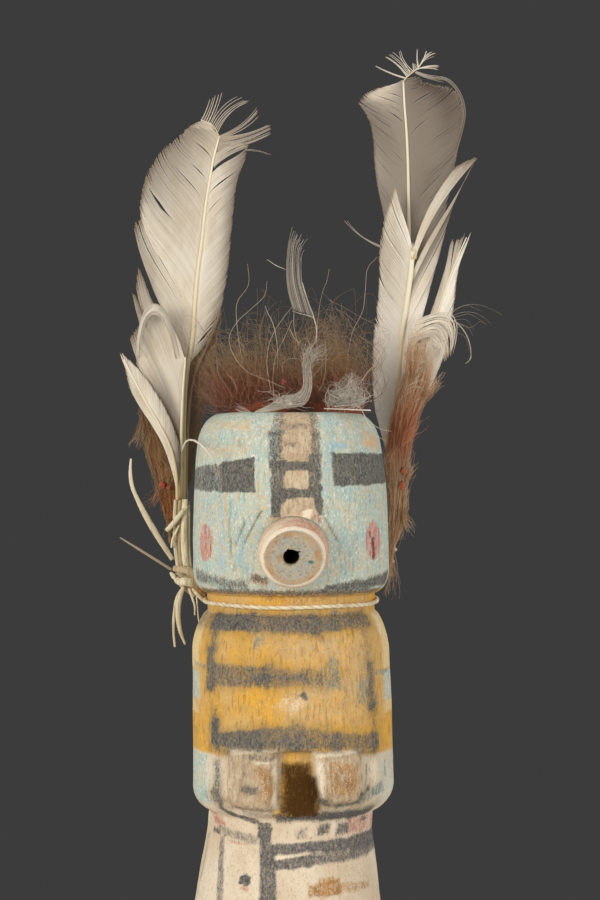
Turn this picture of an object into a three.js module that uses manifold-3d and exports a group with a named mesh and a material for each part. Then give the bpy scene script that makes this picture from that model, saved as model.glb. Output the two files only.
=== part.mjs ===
// An old-style kachina doll: one carved cottonwood figure with a glued-on snout, a string round
// the neck, two bundles of feathers and fur tied beside the mask, and fur and down on its crown.
// Millimetres, +Z up. The doll faces -Y. The origin is on the soles, under the middle of the doll.

import * as THREE from 'three';
import { mergeVertices } from 'three/addons/utils/BufferGeometryUtils.js';
import Module from 'manifold-3d';

const wasm = await Module();
wasm.setup();

// ---------------------------------------------------------------- driving dimensions

const headWidth = 58.4;
const headTop = 215.2;
const chinHeight = 162.2;
const neckWidth = 49.6;
const shoulderHeight = 155.4;
const torsoWidth = 60.2;
const bellyHeight = 97;
const waistWidth = 49;
const kiltTop = 91.5;
const hemHeight = 38;
const hemWidth = 66.4;
const legWidth = 52;
const soleWidth = 54;
const footHeight = 11;
const depthPerWidth = 0.9;     // the cottonwood root is nearly round
const roundness = 2.3;         // exponent of the superellipse in every section

const handProud = 2.2;         // how far the carved hands stand off the belly
const handTop = 118.2;
const handBottom = 97.5;
const snoutRadius = 9.9;
const snoutFaceRadius = 8.9;
const snoutLength = 8;
const snoutHeight = 174.2;
const snoutDrop = 10;          // degrees that the snout points down
const mouthRadius = 2.4;
const mouthDepth = 6;
const stringRadius = 0.65;
const stringHeight = 159.2;
const gap = 0.3;               // clearance between neighbouring pieces

// ---------------------------------------------------------------- solids

const material = (colour, roughness) =>
  new THREE.MeshStandardMaterial({ color: colour, roughness, metalness: 0 });

const doll = new THREE.Group();

function addMesh(name, geometry, look) {
  const mesh = new THREE.Mesh(geometry, look);
  mesh.name = name;
  doll.add(mesh);
}

// Joins the doubled vertices, so that the geometry is one closed skin.
function closed(geometry) {
  geometry.deleteAttribute('normal');
  geometry.deleteAttribute('uv');
  return mergeVertices(geometry, 1e-5);
}

function toSolid(geometry) {
  const skin = closed(geometry);
  return new wasm.Manifold(new wasm.Mesh({
    numProp: 3,
    vertProperties: new Float32Array(skin.attributes.position.array),
    triVerts: new Uint32Array(skin.index.array),
  }));
}

function toGeometry(solid) {
  const mesh = solid.getMesh();
  const geometry = new THREE.BufferGeometry();
  geometry.setAttribute('position', new THREE.BufferAttribute(mesh.vertProperties, 3));
  geometry.setIndex(new THREE.BufferAttribute(mesh.triVerts, 1));
  return geometry;
}

// Warps a cylinder: place(t, angle, reach) gives each vertex from its level t (0 to 1), its angle
// round the axis and its reach, which is 1 on the skin and 0 at the middle of the two ends.
function warpedCylinder(sides, levels, place) {
  const geometry = new THREE.CylinderGeometry(1, 1, 1, sides, levels);
  const position = geometry.attributes.position;
  for (let i = 0; i < position.count; i += 1) {
    const x = position.getX(i);
    const z = position.getZ(i);
    const reach = Math.min(1, Math.round(Math.hypot(x, z)));
    const point = place(position.getY(i) + 0.5, Math.atan2(x, z), reach);
    position.setXYZ(i, point.x, point.y, point.z);
  }
  return geometry;
}

// Cosine or sine pulled towards the corners of a superellipse.
const squared = (value) => Math.sign(value) * Math.abs(value) ** (2 / roundness);

// Straight-line interpolation in a list of [key, value] pairs.
function between(pairs, key) {
  const next = pairs.findIndex((pair) => pair[0] >= key);
  if (next === 0) return pairs[0][1];
  if (next < 0) return pairs[pairs.length - 1][1];
  const [k0, v0] = pairs[next - 1];
  const [k1, v1] = pairs[next];
  return THREE.MathUtils.mapLinear(key, k0, k1, v0, v1);
}

// ---------------------------------------------------------------- the carved figure

// Half the figure's width at each height, from the sole up to the top of the mask.
function sideOutline() {
  const outline = new THREE.Path();
  const headHalf = headWidth / 2;
  const torsoHalf = torsoWidth / 2;
  const neckHalf = neckWidth / 2;
  const waistHalf = waistWidth / 2;
  outline.moveTo(soleWidth / 2 - 1.2, 0);
  outline.quadraticCurveTo(soleWidth / 2, 0.2, soleWidth / 2, 2);
  outline.lineTo(soleWidth / 2, footHeight - 3);
  outline.quadraticCurveTo(soleWidth / 2 - 0.5, footHeight, legWidth / 2 - 1.5, footHeight + 1.5);
  outline.lineTo(legWidth / 2, hemHeight);
  outline.lineTo(hemWidth / 2 - 0.8, hemHeight);
  outline.lineTo(hemWidth / 2, hemHeight + 1.2);
  outline.quadraticCurveTo(waistHalf + 2.6, kiltTop - 20, waistHalf, kiltTop);
  outline.lineTo(waistHalf, bellyHeight - 0.6);
  outline.quadraticCurveTo(waistHalf + 0.2, bellyHeight + 0.3, waistHalf + 2, bellyHeight + 1.2);
  outline.quadraticCurveTo(torsoHalf, bellyHeight + 4, torsoHalf, bellyHeight + 8);
  outline.lineTo(torsoHalf - 0.7, shoulderHeight - 10);
  outline.quadraticCurveTo(torsoHalf - 1.4, shoulderHeight - 4, neckHalf + 1, shoulderHeight);
  outline.lineTo(neckHalf, shoulderHeight + 0.8);
  outline.lineTo(neckHalf, chinHeight - 0.8);
  outline.quadraticCurveTo(headHalf, chinHeight + 0.8, headHalf, chinHeight + 7);
  outline.lineTo(headHalf, chinHeight + 18);
  outline.quadraticCurveTo(headHalf - 0.3, headTop - 19, headHalf - 1.6, headTop - 10.5);
  outline.quadraticCurveTo(headHalf - 2.8, headTop - 0.8, headHalf - 9.5, headTop);
  return outline.getPoints(3).filter((point, i, all) => i === 0 || !point.equals(all[i - 1]));
}

const outline = sideOutline();

// The carver's centre line wanders a little to each side, and the feet reach forward.
const sway = [[0, -0.5], [69, -0.9], [kiltTop, -0.3], [105, 0.7], [147, 0], [170, 0.05], [headTop, -0.6]];
const forward = [[0, -3.5], [footHeight - 3, -3.5], [footHeight + 2, 0], [headTop, 0]];

// A point on the figure's skin, or outside it by "grown".
function figurePoint(level, angle, reach, grown) {
  const half = outline[level].x + grown;
  const height = outline[level].y;
  const foot = between([[0, 1.5], [footHeight - 3, 1.5], [footHeight + 2, 0]], height);
  return new THREE.Vector3(
    between(sway, height) + reach * half * squared(Math.sin(angle)),
    between(forward, height) - reach * (half * depthPerWidth + foot) * squared(Math.cos(angle)),
    height,
  );
}

function figureBody(grown) {
  const levels = outline.length - 1;
  return toSolid(warpedCylinder(36, levels, (t, angle, reach) =>
    figurePoint(Math.round(t * levels), angle, reach, grown)));
}

// A prism that runs along Y from "front" to "back", over an outline drawn in X and Z.
function prism(shape, front, back) {
  const geometry = new THREE.ExtrudeGeometry(shape, {
    depth: back - front, bevelEnabled: false, curveSegments: 5,
  });
  geometry.rotateX(Math.PI / 2);
  geometry.translate(0, back, 0);
  return toSolid(geometry);
}

// An outline with its corners rounded, less so where its sides are short.
function roundedShape(corners, radius) {
  const points = corners.map(([x, z]) => new THREE.Vector2(x, z));
  const shape = new THREE.Shape();
  points.forEach((corner, i) => {
    const last = points[(i + points.length - 1) % points.length];
    const next = points[(i + 1) % points.length];
    const towards = (end) =>
      corner.clone().add(end.clone().sub(corner).setLength(Math.min(radius, corner.distanceTo(end) / 2.2)));
    const from = towards(last);
    const to = towards(next);
    if (i === 0) shape.moveTo(from.x, from.y);
    else shape.lineTo(from.x, from.y);
    shape.quadraticCurveTo(corner.x, corner.y, to.x, to.y);
  });
  shape.closePath();
  return shape;
}

// The two hands are left standing when the belly around them is cut back. They lie side by side
// with an open hollow between them.
const handOutlines = [
  [[-18.9, handBottom], [-4.2, handBottom], [-3.3, handTop - 1.8], [-10.6, handTop + 0.4], [-18.1, handTop - 1.6]],
  [[7.2, handBottom], [20.6, handBottom], [21.6, handTop - 0.6], [18.4, handTop - 0.4], [5.7, handTop - 2]],
];
const hollowOutline = [[-4.4, handBottom - 4], [8.4, handBottom - 4], [5.8, handTop - 2], [-3.3, handTop - 2]];
const hollowBack = -24.4;
const legGrooveWidth = 9;
const legGrooveDepth = 11;

function carvedFigure() {
  let figure = figureBody(0);
  const raised = figureBody(handProud);
  for (const corners of handOutlines) {
    figure = figure.add(raised.intersect(prism(roundedShape(corners, 3), -40, -10)));
  }
  figure = figure.subtract(prism(roundedShape(hollowOutline, 1.2), -40, hollowBack));
  const legGroove = roundedShape([
    [-legGrooveWidth / 2, -5], [legGrooveWidth / 2, -5],
    [legGrooveWidth / 3, hemHeight], [-legGrooveWidth / 3, hemHeight],
  ], 2);
  const front = -soleWidth / 2 * depthPerWidth - 1;
  figure = figure.subtract(prism(legGroove, -40, front + legGrooveDepth));
  return figure.subtract(prism(legGroove, -front - legGrooveDepth, 40));
}

addMesh('figure', toGeometry(carvedFigure()), material('#c6b08c', 0.9));

// The snout is a turned peg, cut on its back to the curve of the mask, drilled for the mouth.
function carvedSnout() {
  const inside = 9;
  const profile = [
    [0, -inside], [snoutRadius, -inside], [snoutRadius, snoutLength * 0.35],
    [snoutFaceRadius + 0.6, snoutLength * 0.75], [snoutFaceRadius - 0.2, snoutLength - 0.5],
    [snoutFaceRadius - 1, snoutLength], [mouthRadius + 0.4, snoutLength - 0.2],
    [mouthRadius, snoutLength - 1], [mouthRadius * 0.8, snoutLength - mouthDepth],
    [0, snoutLength - mouthDepth - 0.8],
  ].map(([radius, along]) => new THREE.Vector2(radius, along));
  const geometry = new THREE.LatheGeometry(profile, 24);
  const turn = Math.PI / 2 + THREE.MathUtils.degToRad(snoutDrop);
  geometry.rotateX(turn);
  geometry.translate(1.2, -headWidth / 2 * depthPerWidth, snoutHeight);
  return toSolid(geometry).subtract(figureBody(gap));
}

addMesh('snout', toGeometry(carvedSnout()), material('#b9a68a', 0.92));

// ---------------------------------------------------------------- string round the neck

// A closed ring with a round section that follows the neck and dips a little in front.
function neckRing() {
  const geometry = new THREE.TorusGeometry(1, 0.1, 6, 36);
  const position = geometry.attributes.position;
  const half = neckWidth / 2 + gap + stringRadius;
  const centre = between(sway, stringHeight);
  for (let i = 0; i < position.count; i += 1) {
    const angle = Math.atan2(position.getY(i), position.getX(i));
    const out = (Math.hypot(position.getX(i), position.getY(i)) - 1) * 10 * stringRadius;
    const up = position.getZ(i) * 10 * stringRadius;
    const dip = 0.6 * Math.sin(angle);
    position.setXYZ(
      i,
      centre + (half + out) * squared(Math.cos(angle)),
      (half * depthPerWidth + out) * squared(Math.sin(angle)),
      stringHeight + up + dip,
    );
  }
  return closed(geometry);
}

addMesh('neck_string', neckRing(), material('#d9cdb0', 0.95));

// ---------------------------------------------------------------- feathers, fur and strips

// A blade or lock along a smooth line. Each station is [x, y, z, left, right]: a point of the
// spine, and how far the blade reaches to the left and right of it, seen from the front.
// "thick" is half the thickness at the spine, and "edge" half of it near the edges. "turn" swings
// the right edge back, in degrees, and "cup" brings both edges of the widest part forward.
function blade(stations, options = {}) {
  const { thick = 0.6, edge = 0.35, sides = 8, steps = 2, turn = 0, cup = 0 } = options;
  const widest = Math.max(...stations.map(([, , , left, right]) => left + right));
  const spine = new THREE.CatmullRomCurve3(
    stations.map(([x, y, z]) => new THREE.Vector3(x, y, z)), false, 'centripetal');
  const reach = new THREE.CatmullRomCurve3(
    stations.map(([, , , left, right], i) => new THREE.Vector3(left, right, i)), false, 'centripetal');
  const frontToBack = new THREE.Vector3(0, 1, 0);
  const levels = (stations.length - 1) * steps;
  return warpedCylinder(sides, levels, (t, angle, cap) => {
    const along = spine.getTangent(t);
    const across = frontToBack.clone().cross(along).normalize();
    across.applyAxisAngle(along, THREE.MathUtils.degToRad(turn));
    const out = across.clone().cross(along).normalize();
    const widths = reach.getPoint(t);
    const side = Math.sin(angle);
    const width = Math.max(side < 0 ? widths.x : widths.y, 0.2);
    const room = Math.max((widths.x + widths.y) / 2, 0.2);
    const half = Math.min(edge + (thick - edge) * (1 - Math.abs(side)) ** 2, room);
    const cupping = cup * side * side * (widths.x + widths.y) / widest;
    return spine.getPoint(t)
      .addScaledVector(across, cap * width * side)
      .addScaledVector(out, cap * (half * Math.cos(angle) + cupping));
  });
}

const feather = material('#d8cfbe', 0.8);
const shadedFeather = material('#8d7a63', 0.85);

// Left bundle, seen from the front, from the back layer to the front one.
addMesh('left_feather_back', closed(blade([
  [-31.9, 6.4, 189, 0.6, 0.6], [-31.8, 7.6, 205, 1.4, 2], [-30.2, 8.6, 218, 3.4, 4.4],
  [-27.7, 9.6, 230, 4.4, 4.6], [-25, 10.4, 240, 3.6, 3.4], [-22.8, 11, 248.5, 0.8, 1],
], { turn: 14 })), shadedFeather);

addMesh('left_feather_tall', closed(blade([
  [-32.9, 4.7, 189, 0.6, 0.6], [-32.4, 5, 213, 0.9, 0.9], [-31.3, 5.4, 230.5, 1.1, 1.2],
  [-29.9, 5.8, 237, 5, 4.4], [-29.1, 6.2, 247, 10, 8.2], [-28.4, 6.6, 257, 15.8, 9],
  [-27.6, 7, 263, 19.6, 9], [-26.8, 7.4, 270, 20.9, 8.9], [-25.4, 8.4, 282, 19.4, 8.4],
  [-24.1, 9.2, 290, 18.8, 9.3], [-22.8, 9.8, 296, 15.2, 9.3], [-21.8, 10.4, 300.5, 11.6, 6.6],
  [-22.6, 10.8, 304, 7, 2.4],
], { thick: 0.9, turn: 8, cup: 2 })), feather);

addMesh('left_feather_short', closed(blade([
  [-33.4, 3.1, 189, 0.6, 0.6], [-33.2, 2.6, 205, 1.2, 1], [-34.6, 2.4, 217, 3.4, 1.8],
  [-36.6, 2, 226, 5.6, 3.6], [-39.4, 1.6, 235, 6.4, 5], [-42, 1.2, 243.5, 5, 4],
  [-43.6, 1, 250.5, 3.2, 2.6], [-45.2, 0.8, 257, 0.8, 1],
], { cup: 0.6 })), feather);

addMesh('left_feather_lower', closed(blade([
  [-34.2, 1.5, 189, 0.6, 0.6], [-34.9, 0.6, 202, 1.2, 1.2], [-38.4, 0, 211, 3.4, 2.2],
  [-42.8, -0.6, 217.5, 4.2, 3.2], [-46.8, -1, 223.8, 2.6, 2.8], [-49.4, -1.3, 229.5, 1.4, 1.5],
  [-51.2, -1.5, 233.4, 0.3, 0.3],
])), feather);

// Right bundle. The front feather's outer barbs have come away as one long strip.
addMesh('right_feather_tall', closed(blade([
  [31.4, 15.4, 183, 0.6, 0.6], [33.4, 17.4, 212, 0.9, 0.9], [35, 18.6, 236, 1.4, 1.4],
  [36, 19.2, 252, 5, 5], [36.4, 19.6, 264, 7.4, 9], [36.4, 20, 276, 7.6, 11],
  [36.3, 20.4, 286, 10, 13.2], [36.1, 20.8, 296, 10.8, 15.6], [35.6, 21, 304, 10.8, 17.4],
  [35.2, 21.2, 310.5, 13.4, 18.4], [35, 21.4, 315.4, 12, 16], [35.2, 21.6, 319.4, 5, 7.6],
], { thick: 0.9, turn: 5, cup: 2.2 })), feather);

const frontVane = toSolid(blade([
  [30.8, 13.2, 183, 0.6, 0.6], [31.6, 13.8, 199, 0.9, 0.9], [32.3, 14, 211, 4.4, 1.4],
  [32.9, 14, 224, 8, 2.4], [34.1, 14, 236, 9, 4.4], [35.4, 14, 248, 8.8, 5],
  [36.6, 14, 258, 9.4, 7], [36.9, 14, 266, 9.8, 7.4], [35.2, 14, 275, 6, 6],
  [32.2, 14, 284.6, 0.8, 1],
], { thick: 0.9, cup: 1 }));
const frontStrip = toSolid(blade([
  [37.6, 14, 248, 2.6, 2.4], [42, 14, 262, 3.4, 3.6], [45, 14, 272, 2.8, 3],
  [48.6, 14, 281, 2.4, 2.2], [53, 14, 288.5, 1.4, 1.4], [57.4, 14, 294, 0.3, 0.3],
], { thick: 0.6 }));
addMesh('right_feather_front', toGeometry(frontVane.add(frontStrip)), feather);

addMesh('right_feather_side', closed(blade([
  [31.6, 11.4, 183, 0.6, 0.6], [33.2, 11.6, 200, 0.9, 0.9], [34.6, 11.8, 210, 1.6, 1.8],
  [38, 11.8, 222, 3.4, 6.2], [41.4, 11.8, 235, 5, 7.6], [43.8, 11.8, 246, 5, 6],
  [46.4, 11.8, 256, 3.6, 4.4], [49.4, 11.8, 264, 2.6, 2.4], [54, 11.8, 271, 0.6, 0.8],
])), feather);

// A tuft is several tapering locks that start together and part towards the tips.
function tuft(middle, spread, locks) {
  let solid = null;
  for (let i = 0; i < locks; i += 1) {
    const turn = 2 * Math.PI * i / locks;
    const lock = toSolid(blade(middle.map(([x, y, z, half], row) => {
      const open = spread[row];
      const fat = half * (i % 2 ? 0.8 : 1);
      return [x + open * Math.cos(turn), y + 0.6 * open * Math.sin(turn), z - (i % 3) * open, fat, fat];
    }), { thick: 1.8, edge: 1, sides: 6, steps: 1 }));
    solid = solid ? solid.add(lock) : lock;
  }
  return toGeometry(solid);
}

addMesh('left_fur_tuft', tuft([
  [-36.4, 10.8, 178.5, 0.7], [-36.6, 10.8, 184, 2.4], [-37.2, 10.6, 191, 3.2],
  [-38.8, 9.8, 200, 3.6], [-40, 8.6, 210, 3.6], [-41.4, 8, 221, 0.9],
], [0.1, 1, 1.3, 1.5, 1.6, 1.7], 5), material('#7d5a3c', 0.95));

addMesh('right_fur_tuft', tuft([
  [29.9, 7.8, 169, 0.4], [31.6, 7.8, 179, 2], [32.6, 7.8, 189, 2.6], [32.9, 7.6, 200, 2.8],
  [34.3, 7.4, 211, 3.2], [36.4, 7.2, 221, 3.4], [38, 7, 229, 0.7],
], [0.1, 0.6, 0.7, 0.8, 1.1, 1.8, 2.3], 5), material('#96724e', 0.95));

// The fur on the crown: a low cushion with locks that stand up from it.
function crownFur() {
  const base = headTop + gap;
  const swell = [[0, 0.86], [0.2, 1], [0.6, 0.92], [0.8, 0.7], [1, 0.35]];
  let solid = toSolid(warpedCylinder(16, 5, (t, angle, reach) => {
    const wave = 1 + 0.05 * Math.cos(5 * angle);
    return new THREE.Vector3(
      1.2 + reach * 21 * between(swell, t) * wave * Math.sin(angle),
      3 - reach * 13 * between(swell, t) * wave * Math.cos(angle),
      base + 12 * t,
    );
  }));
  const locks = 14;
  const root = base + 5;
  for (let i = 0; i < locks; i += 1) {
    const turn = i * 2.4;
    const out = Math.sqrt((i + 0.5) / locks);
    const x = 1.2 + 16 * out * Math.cos(turn);
    const y = 3 + 7 * out * Math.sin(turn);
    const rise = 15 + 4 * Math.cos(i * 1.7) - 3 * out;
    const lean = 5 * out * Math.cos(turn) + 2 * Math.sin(i * 2.9);
    solid = solid.add(toSolid(blade([
      [x, y, root, 3.4, 3.4], [x + 0.2 * lean, y, root + 0.4 * rise, 3.8, 3.8],
      [x + 0.5 * lean, y, root + 0.75 * rise, 2.6, 2.6], [x + lean, y, root + rise, 0.3, 0.3],
    ], { thick: 2.6, edge: 1.6, sides: 6, steps: 1 })));
  }
  return toGeometry(solid);
}

addMesh('crown_fur', crownFur(), material('#6b4a30', 0.95));

const down = material('#cfc6b8', 0.9);

addMesh('down_plume_standing', closed(blade([
  [7.4, -6.4, 236, 0.3, 0.3], [6.6, -5.4, 243.4, 0.5, 0.5], [3.3, -5, 247.2, 2.3, 2.2],
  [1.6, -5, 253, 2.5, 2.5], [0.9, -5, 259, 2.3, 2.3], [1.6, -5, 265, 1.8, 2],
  [2.8, -5, 271, 0.4, 0.4],
], { sides: 6 })), down);

addMesh('down_plume_centre', closed(blade([
  [-15.5, -14.6, 216.2, 0.3, 0.3], [-8, -15, 217, 0.8, 0.8], [-1, -15, 218.8, 1.5, 1.5],
  [4, -14.4, 222.4, 1.8, 1.8], [5.2, -14, 228, 1.6, 1.6], [6.2, -13.6, 233, 1.3, 1.3],
  [9.8, -13.4, 235, 0.3, 0.3],
], { thick: 1, edge: 0.6, sides: 6 })), down);

addMesh('down_plume_right', closed(blade([
  [8.6, -14.4, 217.6, 0.5, 0.5], [12.5, -14.4, 219.2, 2.5, 2.2], [17, -14.4, 220.8, 4.8, 4.4],
  [20.8, -14.2, 220, 4.2, 3.6], [23.4, -14, 217.8, 0.6, 0.6],
], { thick: 1.6, edge: 0.8 })), down);

// Cord wound round the quills, knotted to the neck string, with its frayed ends hanging.
function leftBinding() {
  const sleeve = blade([
    [-33, 3.9, 188.4, 2, 2], [-33, 3.9, 181, 2.1, 2.1], [-32.9, 3.6, 173, 2.1, 2.1],
    [-32.4, 3.2, 167, 2.2, 2.2], [-31.2, 2.8, 163.4, 2.4, 2.4], [-29.6, 2.2, 160.6, 2, 1.8],
    [-28.6, 2, 158.6, 0.8, 0.8],
  ], { thick: 2.9, edge: 1.8 });
  const ends = [
    [[-31.6, 1.6, 163.6, 0.7, 0.7], [-33.6, 1.2, 156, 0.6, 0.6], [-34.9, 1, 144.6, 0.3, 0.3]],
    [[-30.8, 1.4, 162.4, 0.6, 0.6], [-31.8, 1, 154, 0.5, 0.5], [-31.9, 0.8, 145.8, 0.3, 0.3]],
    [[-29.8, 1.4, 161, 0.5, 0.5], [-28.9, 0.6, 156.4, 0.4, 0.4], [-28.9, 0.4, 153.6, 0.3, 0.3]],
  ];
  let solid = toSolid(sleeve);
  for (const end of ends) {
    solid = solid.add(toSolid(blade(end, { thick: 0.5, edge: 0.3, sides: 6 })));
  }
  return toGeometry(solid);
}

addMesh('left_binding', leftBinding(), material('#d3c3a4', 0.9));

addMesh('right_binding', closed(blade([
  [31.4, 13.6, 182.4, 1.6, 1.6], [30.8, 13.4, 176, 1.7, 1.7], [29.6, 13.6, 170, 1.7, 1.7],
  [27.4, 14.2, 165, 1.5, 1.5], [24.8, 15, 161.6, 1, 1], [22, 16.4, 159.6, 0.5, 0.5],
], { thick: 2.6, edge: 1.4 })), material('#c9b894', 0.9));

// Split strips of quill tied into the left bundle.
const strip = material('#e0d6be', 0.85);

addMesh('long_strip', closed(blade([
  [-48.2, 1, 201, 0.4, 0.4], [-48.5, 1, 195, 0.9, 0.9], [-46.4, 1.2, 188, 0.9, 0.9],
  [-42, 1.4, 180.6, 0.9, 0.9], [-36.4, 1.8, 172, 0.7, 0.7],
], { thick: 0.4, edge: 0.25, sides: 6 })), strip);

addMesh('short_strip', closed(blade([
  [-51.2, 1, 177.6, 0.3, 0.3], [-45.5, 1.2, 173.6, 0.6, 0.6], [-36, 1.6, 168.2, 0.6, 0.6],
], { thick: 0.4, edge: 0.25, sides: 6 })), strip);

export default doll;
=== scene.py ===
"""Finished looks of an old-style carved kachina doll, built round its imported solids."""
import math

import bpy
import numpy as np
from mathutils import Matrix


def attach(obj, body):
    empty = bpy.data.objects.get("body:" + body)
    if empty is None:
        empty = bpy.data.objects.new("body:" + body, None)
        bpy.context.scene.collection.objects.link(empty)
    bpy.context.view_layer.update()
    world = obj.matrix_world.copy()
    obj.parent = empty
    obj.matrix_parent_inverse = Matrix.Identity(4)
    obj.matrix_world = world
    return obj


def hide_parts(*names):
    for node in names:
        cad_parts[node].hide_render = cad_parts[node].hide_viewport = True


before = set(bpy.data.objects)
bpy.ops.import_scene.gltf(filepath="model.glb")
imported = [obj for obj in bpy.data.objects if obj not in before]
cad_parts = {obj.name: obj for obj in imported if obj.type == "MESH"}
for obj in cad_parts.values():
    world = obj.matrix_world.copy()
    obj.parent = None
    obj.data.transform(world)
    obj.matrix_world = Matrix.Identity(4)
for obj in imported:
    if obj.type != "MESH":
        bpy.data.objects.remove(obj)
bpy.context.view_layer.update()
scene = bpy.context.scene

# ---- camera, floor and light
# A level camera with a long lens looks at the doll from the front, a little above the middle
# of the carving. The floor is a pale round table top under plain soft light.

camera = bpy.data.objects.new("camera", bpy.data.cameras.new("camera"))
camera.data.lens = 80
camera.data.sensor_width = 36
camera.location = (0.0027, -0.6, 0.204)
camera.rotation_euler = (math.pi / 2, 0, 0)
scene.collection.objects.link(camera)
scene.camera = camera
scene.view_settings.view_transform = "Standard"


def colour(text):
    """The linear red, green, blue and alpha of a colour written as six hex digits of sRGB."""
    parts = np.array([int(text[i:i + 2], 16) for i in (0, 2, 4)]) / 255
    linear = np.where(parts < 0.04045, parts / 12.92, ((parts + 0.055) / 1.055) ** 2.4)
    return (*linear.tolist(), 1.0)


def new_material(name):
    """A node material with only its output left, and the tree and output to build on."""
    material = bpy.data.materials.new(name)
    material.use_nodes = True
    tree = material.node_tree
    tree.nodes.clear()
    return material, tree, tree.nodes.new("ShaderNodeOutputMaterial")


def add_node(tree, kind, inputs=None, **settings):
    """A new node of that kind. Inputs are set by name or number, from a socket, a value, or
    six hex digits for a colour."""
    node = tree.nodes.new("ShaderNode" + kind)
    for key, value in settings.items():
        setattr(node, key, value)
    for key, value in (inputs or {}).items():
        if isinstance(value, bpy.types.NodeSocket):
            tree.links.new(value, node.inputs[key])
        else:
            node.inputs[key].default_value = colour(value) if isinstance(value, str) else value
    return node


def noise(tree, scale, detail=2.0, roughness=0.55, distortion=0.0):
    """Noise between 0 and 1 in Object coordinates. Scale is three numbers, in bumps per metre."""
    place = add_node(tree, "TexCoord").outputs["Object"]
    stretched = add_node(tree, "Mapping", {"Vector": place, "Scale": scale})
    texture = add_node(tree, "TexNoise", {
        "Vector": stretched.outputs[0], "Scale": 1.0, "Detail": detail,
        "Roughness": roughness, "Distortion": distortion})
    return texture.outputs["Fac"]


def blend_colours(tree, share, under, over):
    """Under where share is 0 and over where it is 1."""
    return add_node(tree, "Mix", {0: share, 6: under, 7: over}, data_type="RGBA").outputs[2]


def spread(tree, value, low, high, start=0.0, end=1.0):
    """Value carried from low..high to start..end with a smooth step, and held outside it."""
    return add_node(tree, "MapRange", {
        0: value, 1: low, 2: high, 3: start, 4: end}, interpolation_type="SMOOTHSTEP").outputs[0]


def maths(tree, operation, first, second, clamp=False):
    """One sum on two values."""
    return add_node(tree, "Math", {0: first, 1: second}, operation=operation,
                    use_clamp=clamp).outputs[0]


def shaded(tree, value, low, high, under, over, most=1.0):
    """Under where value is low and, up to the share most, over where it is high."""
    return blend_colours(tree, spread(tree, value, low, high, 0.0, most), under, over)


def finish_material(tree, output, inputs):
    """The material's surface, with its inputs by name."""
    surface = add_node(tree, "BsdfPrincipled", inputs)
    tree.links.new(surface.outputs[0], output.inputs["Surface"])


floor_radius, floor_sides, floor_level = 0.27, 96, -0.0002
turns = np.linspace(0, 2 * math.pi, floor_sides, endpoint=False)
floor_rim = np.stack([floor_radius * np.cos(turns), floor_radius * np.sin(turns),
                      np.full(floor_sides, floor_level)], axis=1)
floor_mesh = bpy.data.meshes.new("floor")
floor_mesh.from_pydata(floor_rim.tolist(), [], [list(range(floor_sides))])
floor = bpy.data.objects.new("floor", floor_mesh)
scene.collection.objects.link(floor)
pale, tree, output = new_material("pale_floor")
mottle = blend_colours(tree, noise(tree, (60, 60, 60)), "d4d1cb", "dad7d2")
finish_material(tree, output, {"Base Color": mottle, "Roughness": 0.8})
floor_mesh.materials.append(pale)

# The camera sees a plain dark grey behind the doll, and the doll sees a soft even light.
world = bpy.data.worlds.new("studio")
scene.world = world
world.use_nodes = True
tree = world.node_tree
tree.nodes.clear()
seen = add_node(tree, "Background", {"Color": "3c3c3c", "Strength": 1.0})
soft = add_node(tree, "Background", {"Color": (0.93, 0.96, 1.0, 1), "Strength": 0.33})
chosen = add_node(tree, "MixShader", {
    0: add_node(tree, "LightPath").outputs["Is Camera Ray"],
    1: soft.outputs[0], 2: seen.outputs[0]})
world_output = tree.nodes.new("ShaderNodeOutputWorld")
tree.links.new(chosen.outputs[0], world_output.inputs["Surface"])


def add_lamp(name, place, target, size, power, tint):
    """A square soft box at place that faces target."""
    light = bpy.data.lights.new(name, "AREA")
    light.size, light.energy, light.color = size, power, tint
    lamp = bpy.data.objects.new(name, light)
    away = np.array(place) - np.array(target)
    lamp.location = place
    lamp.rotation_euler = (math.acos(away[2] / np.linalg.norm(away)), 0,
                           math.atan2(away[1], away[0]) + math.pi / 2)
    scene.collection.objects.link(lamp)


add_lamp("key_box", (-0.60, -0.62, 0.32), (0, 0, 0.17), 0.42, 5.9, (1.0, 0.97, 0.92))
add_lamp("fill_box", (0.70, -0.55, 0.24), (0, 0, 0.17), 0.5, 4.2, (1.0, 0.98, 0.95))
add_lamp("top_box", (0.05, 0.25, 0.85), (0, 0, 0.22), 0.4, 1.8, (1.0, 1.0, 1.0))

# ---- the carved figure
# One piece of cottonwood root, cut with a knife into mask, neck, body with two raised hands,
# kilt, legs and feet. It is coated with chalky white, then painted with thin earth colours.

MM = 0.001
HEAD_WIDTH, TORSO_WIDTH, NECK_WIDTH, WAIST_WIDTH = 58.4, 60.2, 49.6, 49.0
HEM_WIDTH, LEG_WIDTH, SOLE_WIDTH = 66.4, 52.0, 54.0
HEAD_TOP, CHIN, SHOULDER, BELLY, KILT_TOP, HEM = 215.2, 162.2, 155.4, 97.0, 91.5, 38.0
FOOT_HEIGHT = 11.0
DEPTH_PER_WIDTH = 0.9
ROUNDNESS = 2.3
HAND_PROUD = 2.2
HOLLOW_BACK = -24.4
LEG_GROOVE_DEPTH = 11.0


BEND_STEPS = 24


def bent(start, handle, end):
    """Points after start on the quadratic curve from start to end, pulled towards handle."""
    t = np.linspace(0, 1, BEND_STEPS + 1)[1:, None]
    return (1 - t) ** 2 * np.array(start) + 2 * t * (1 - t) * np.array(handle) + t ** 2 * np.array(end)


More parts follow.
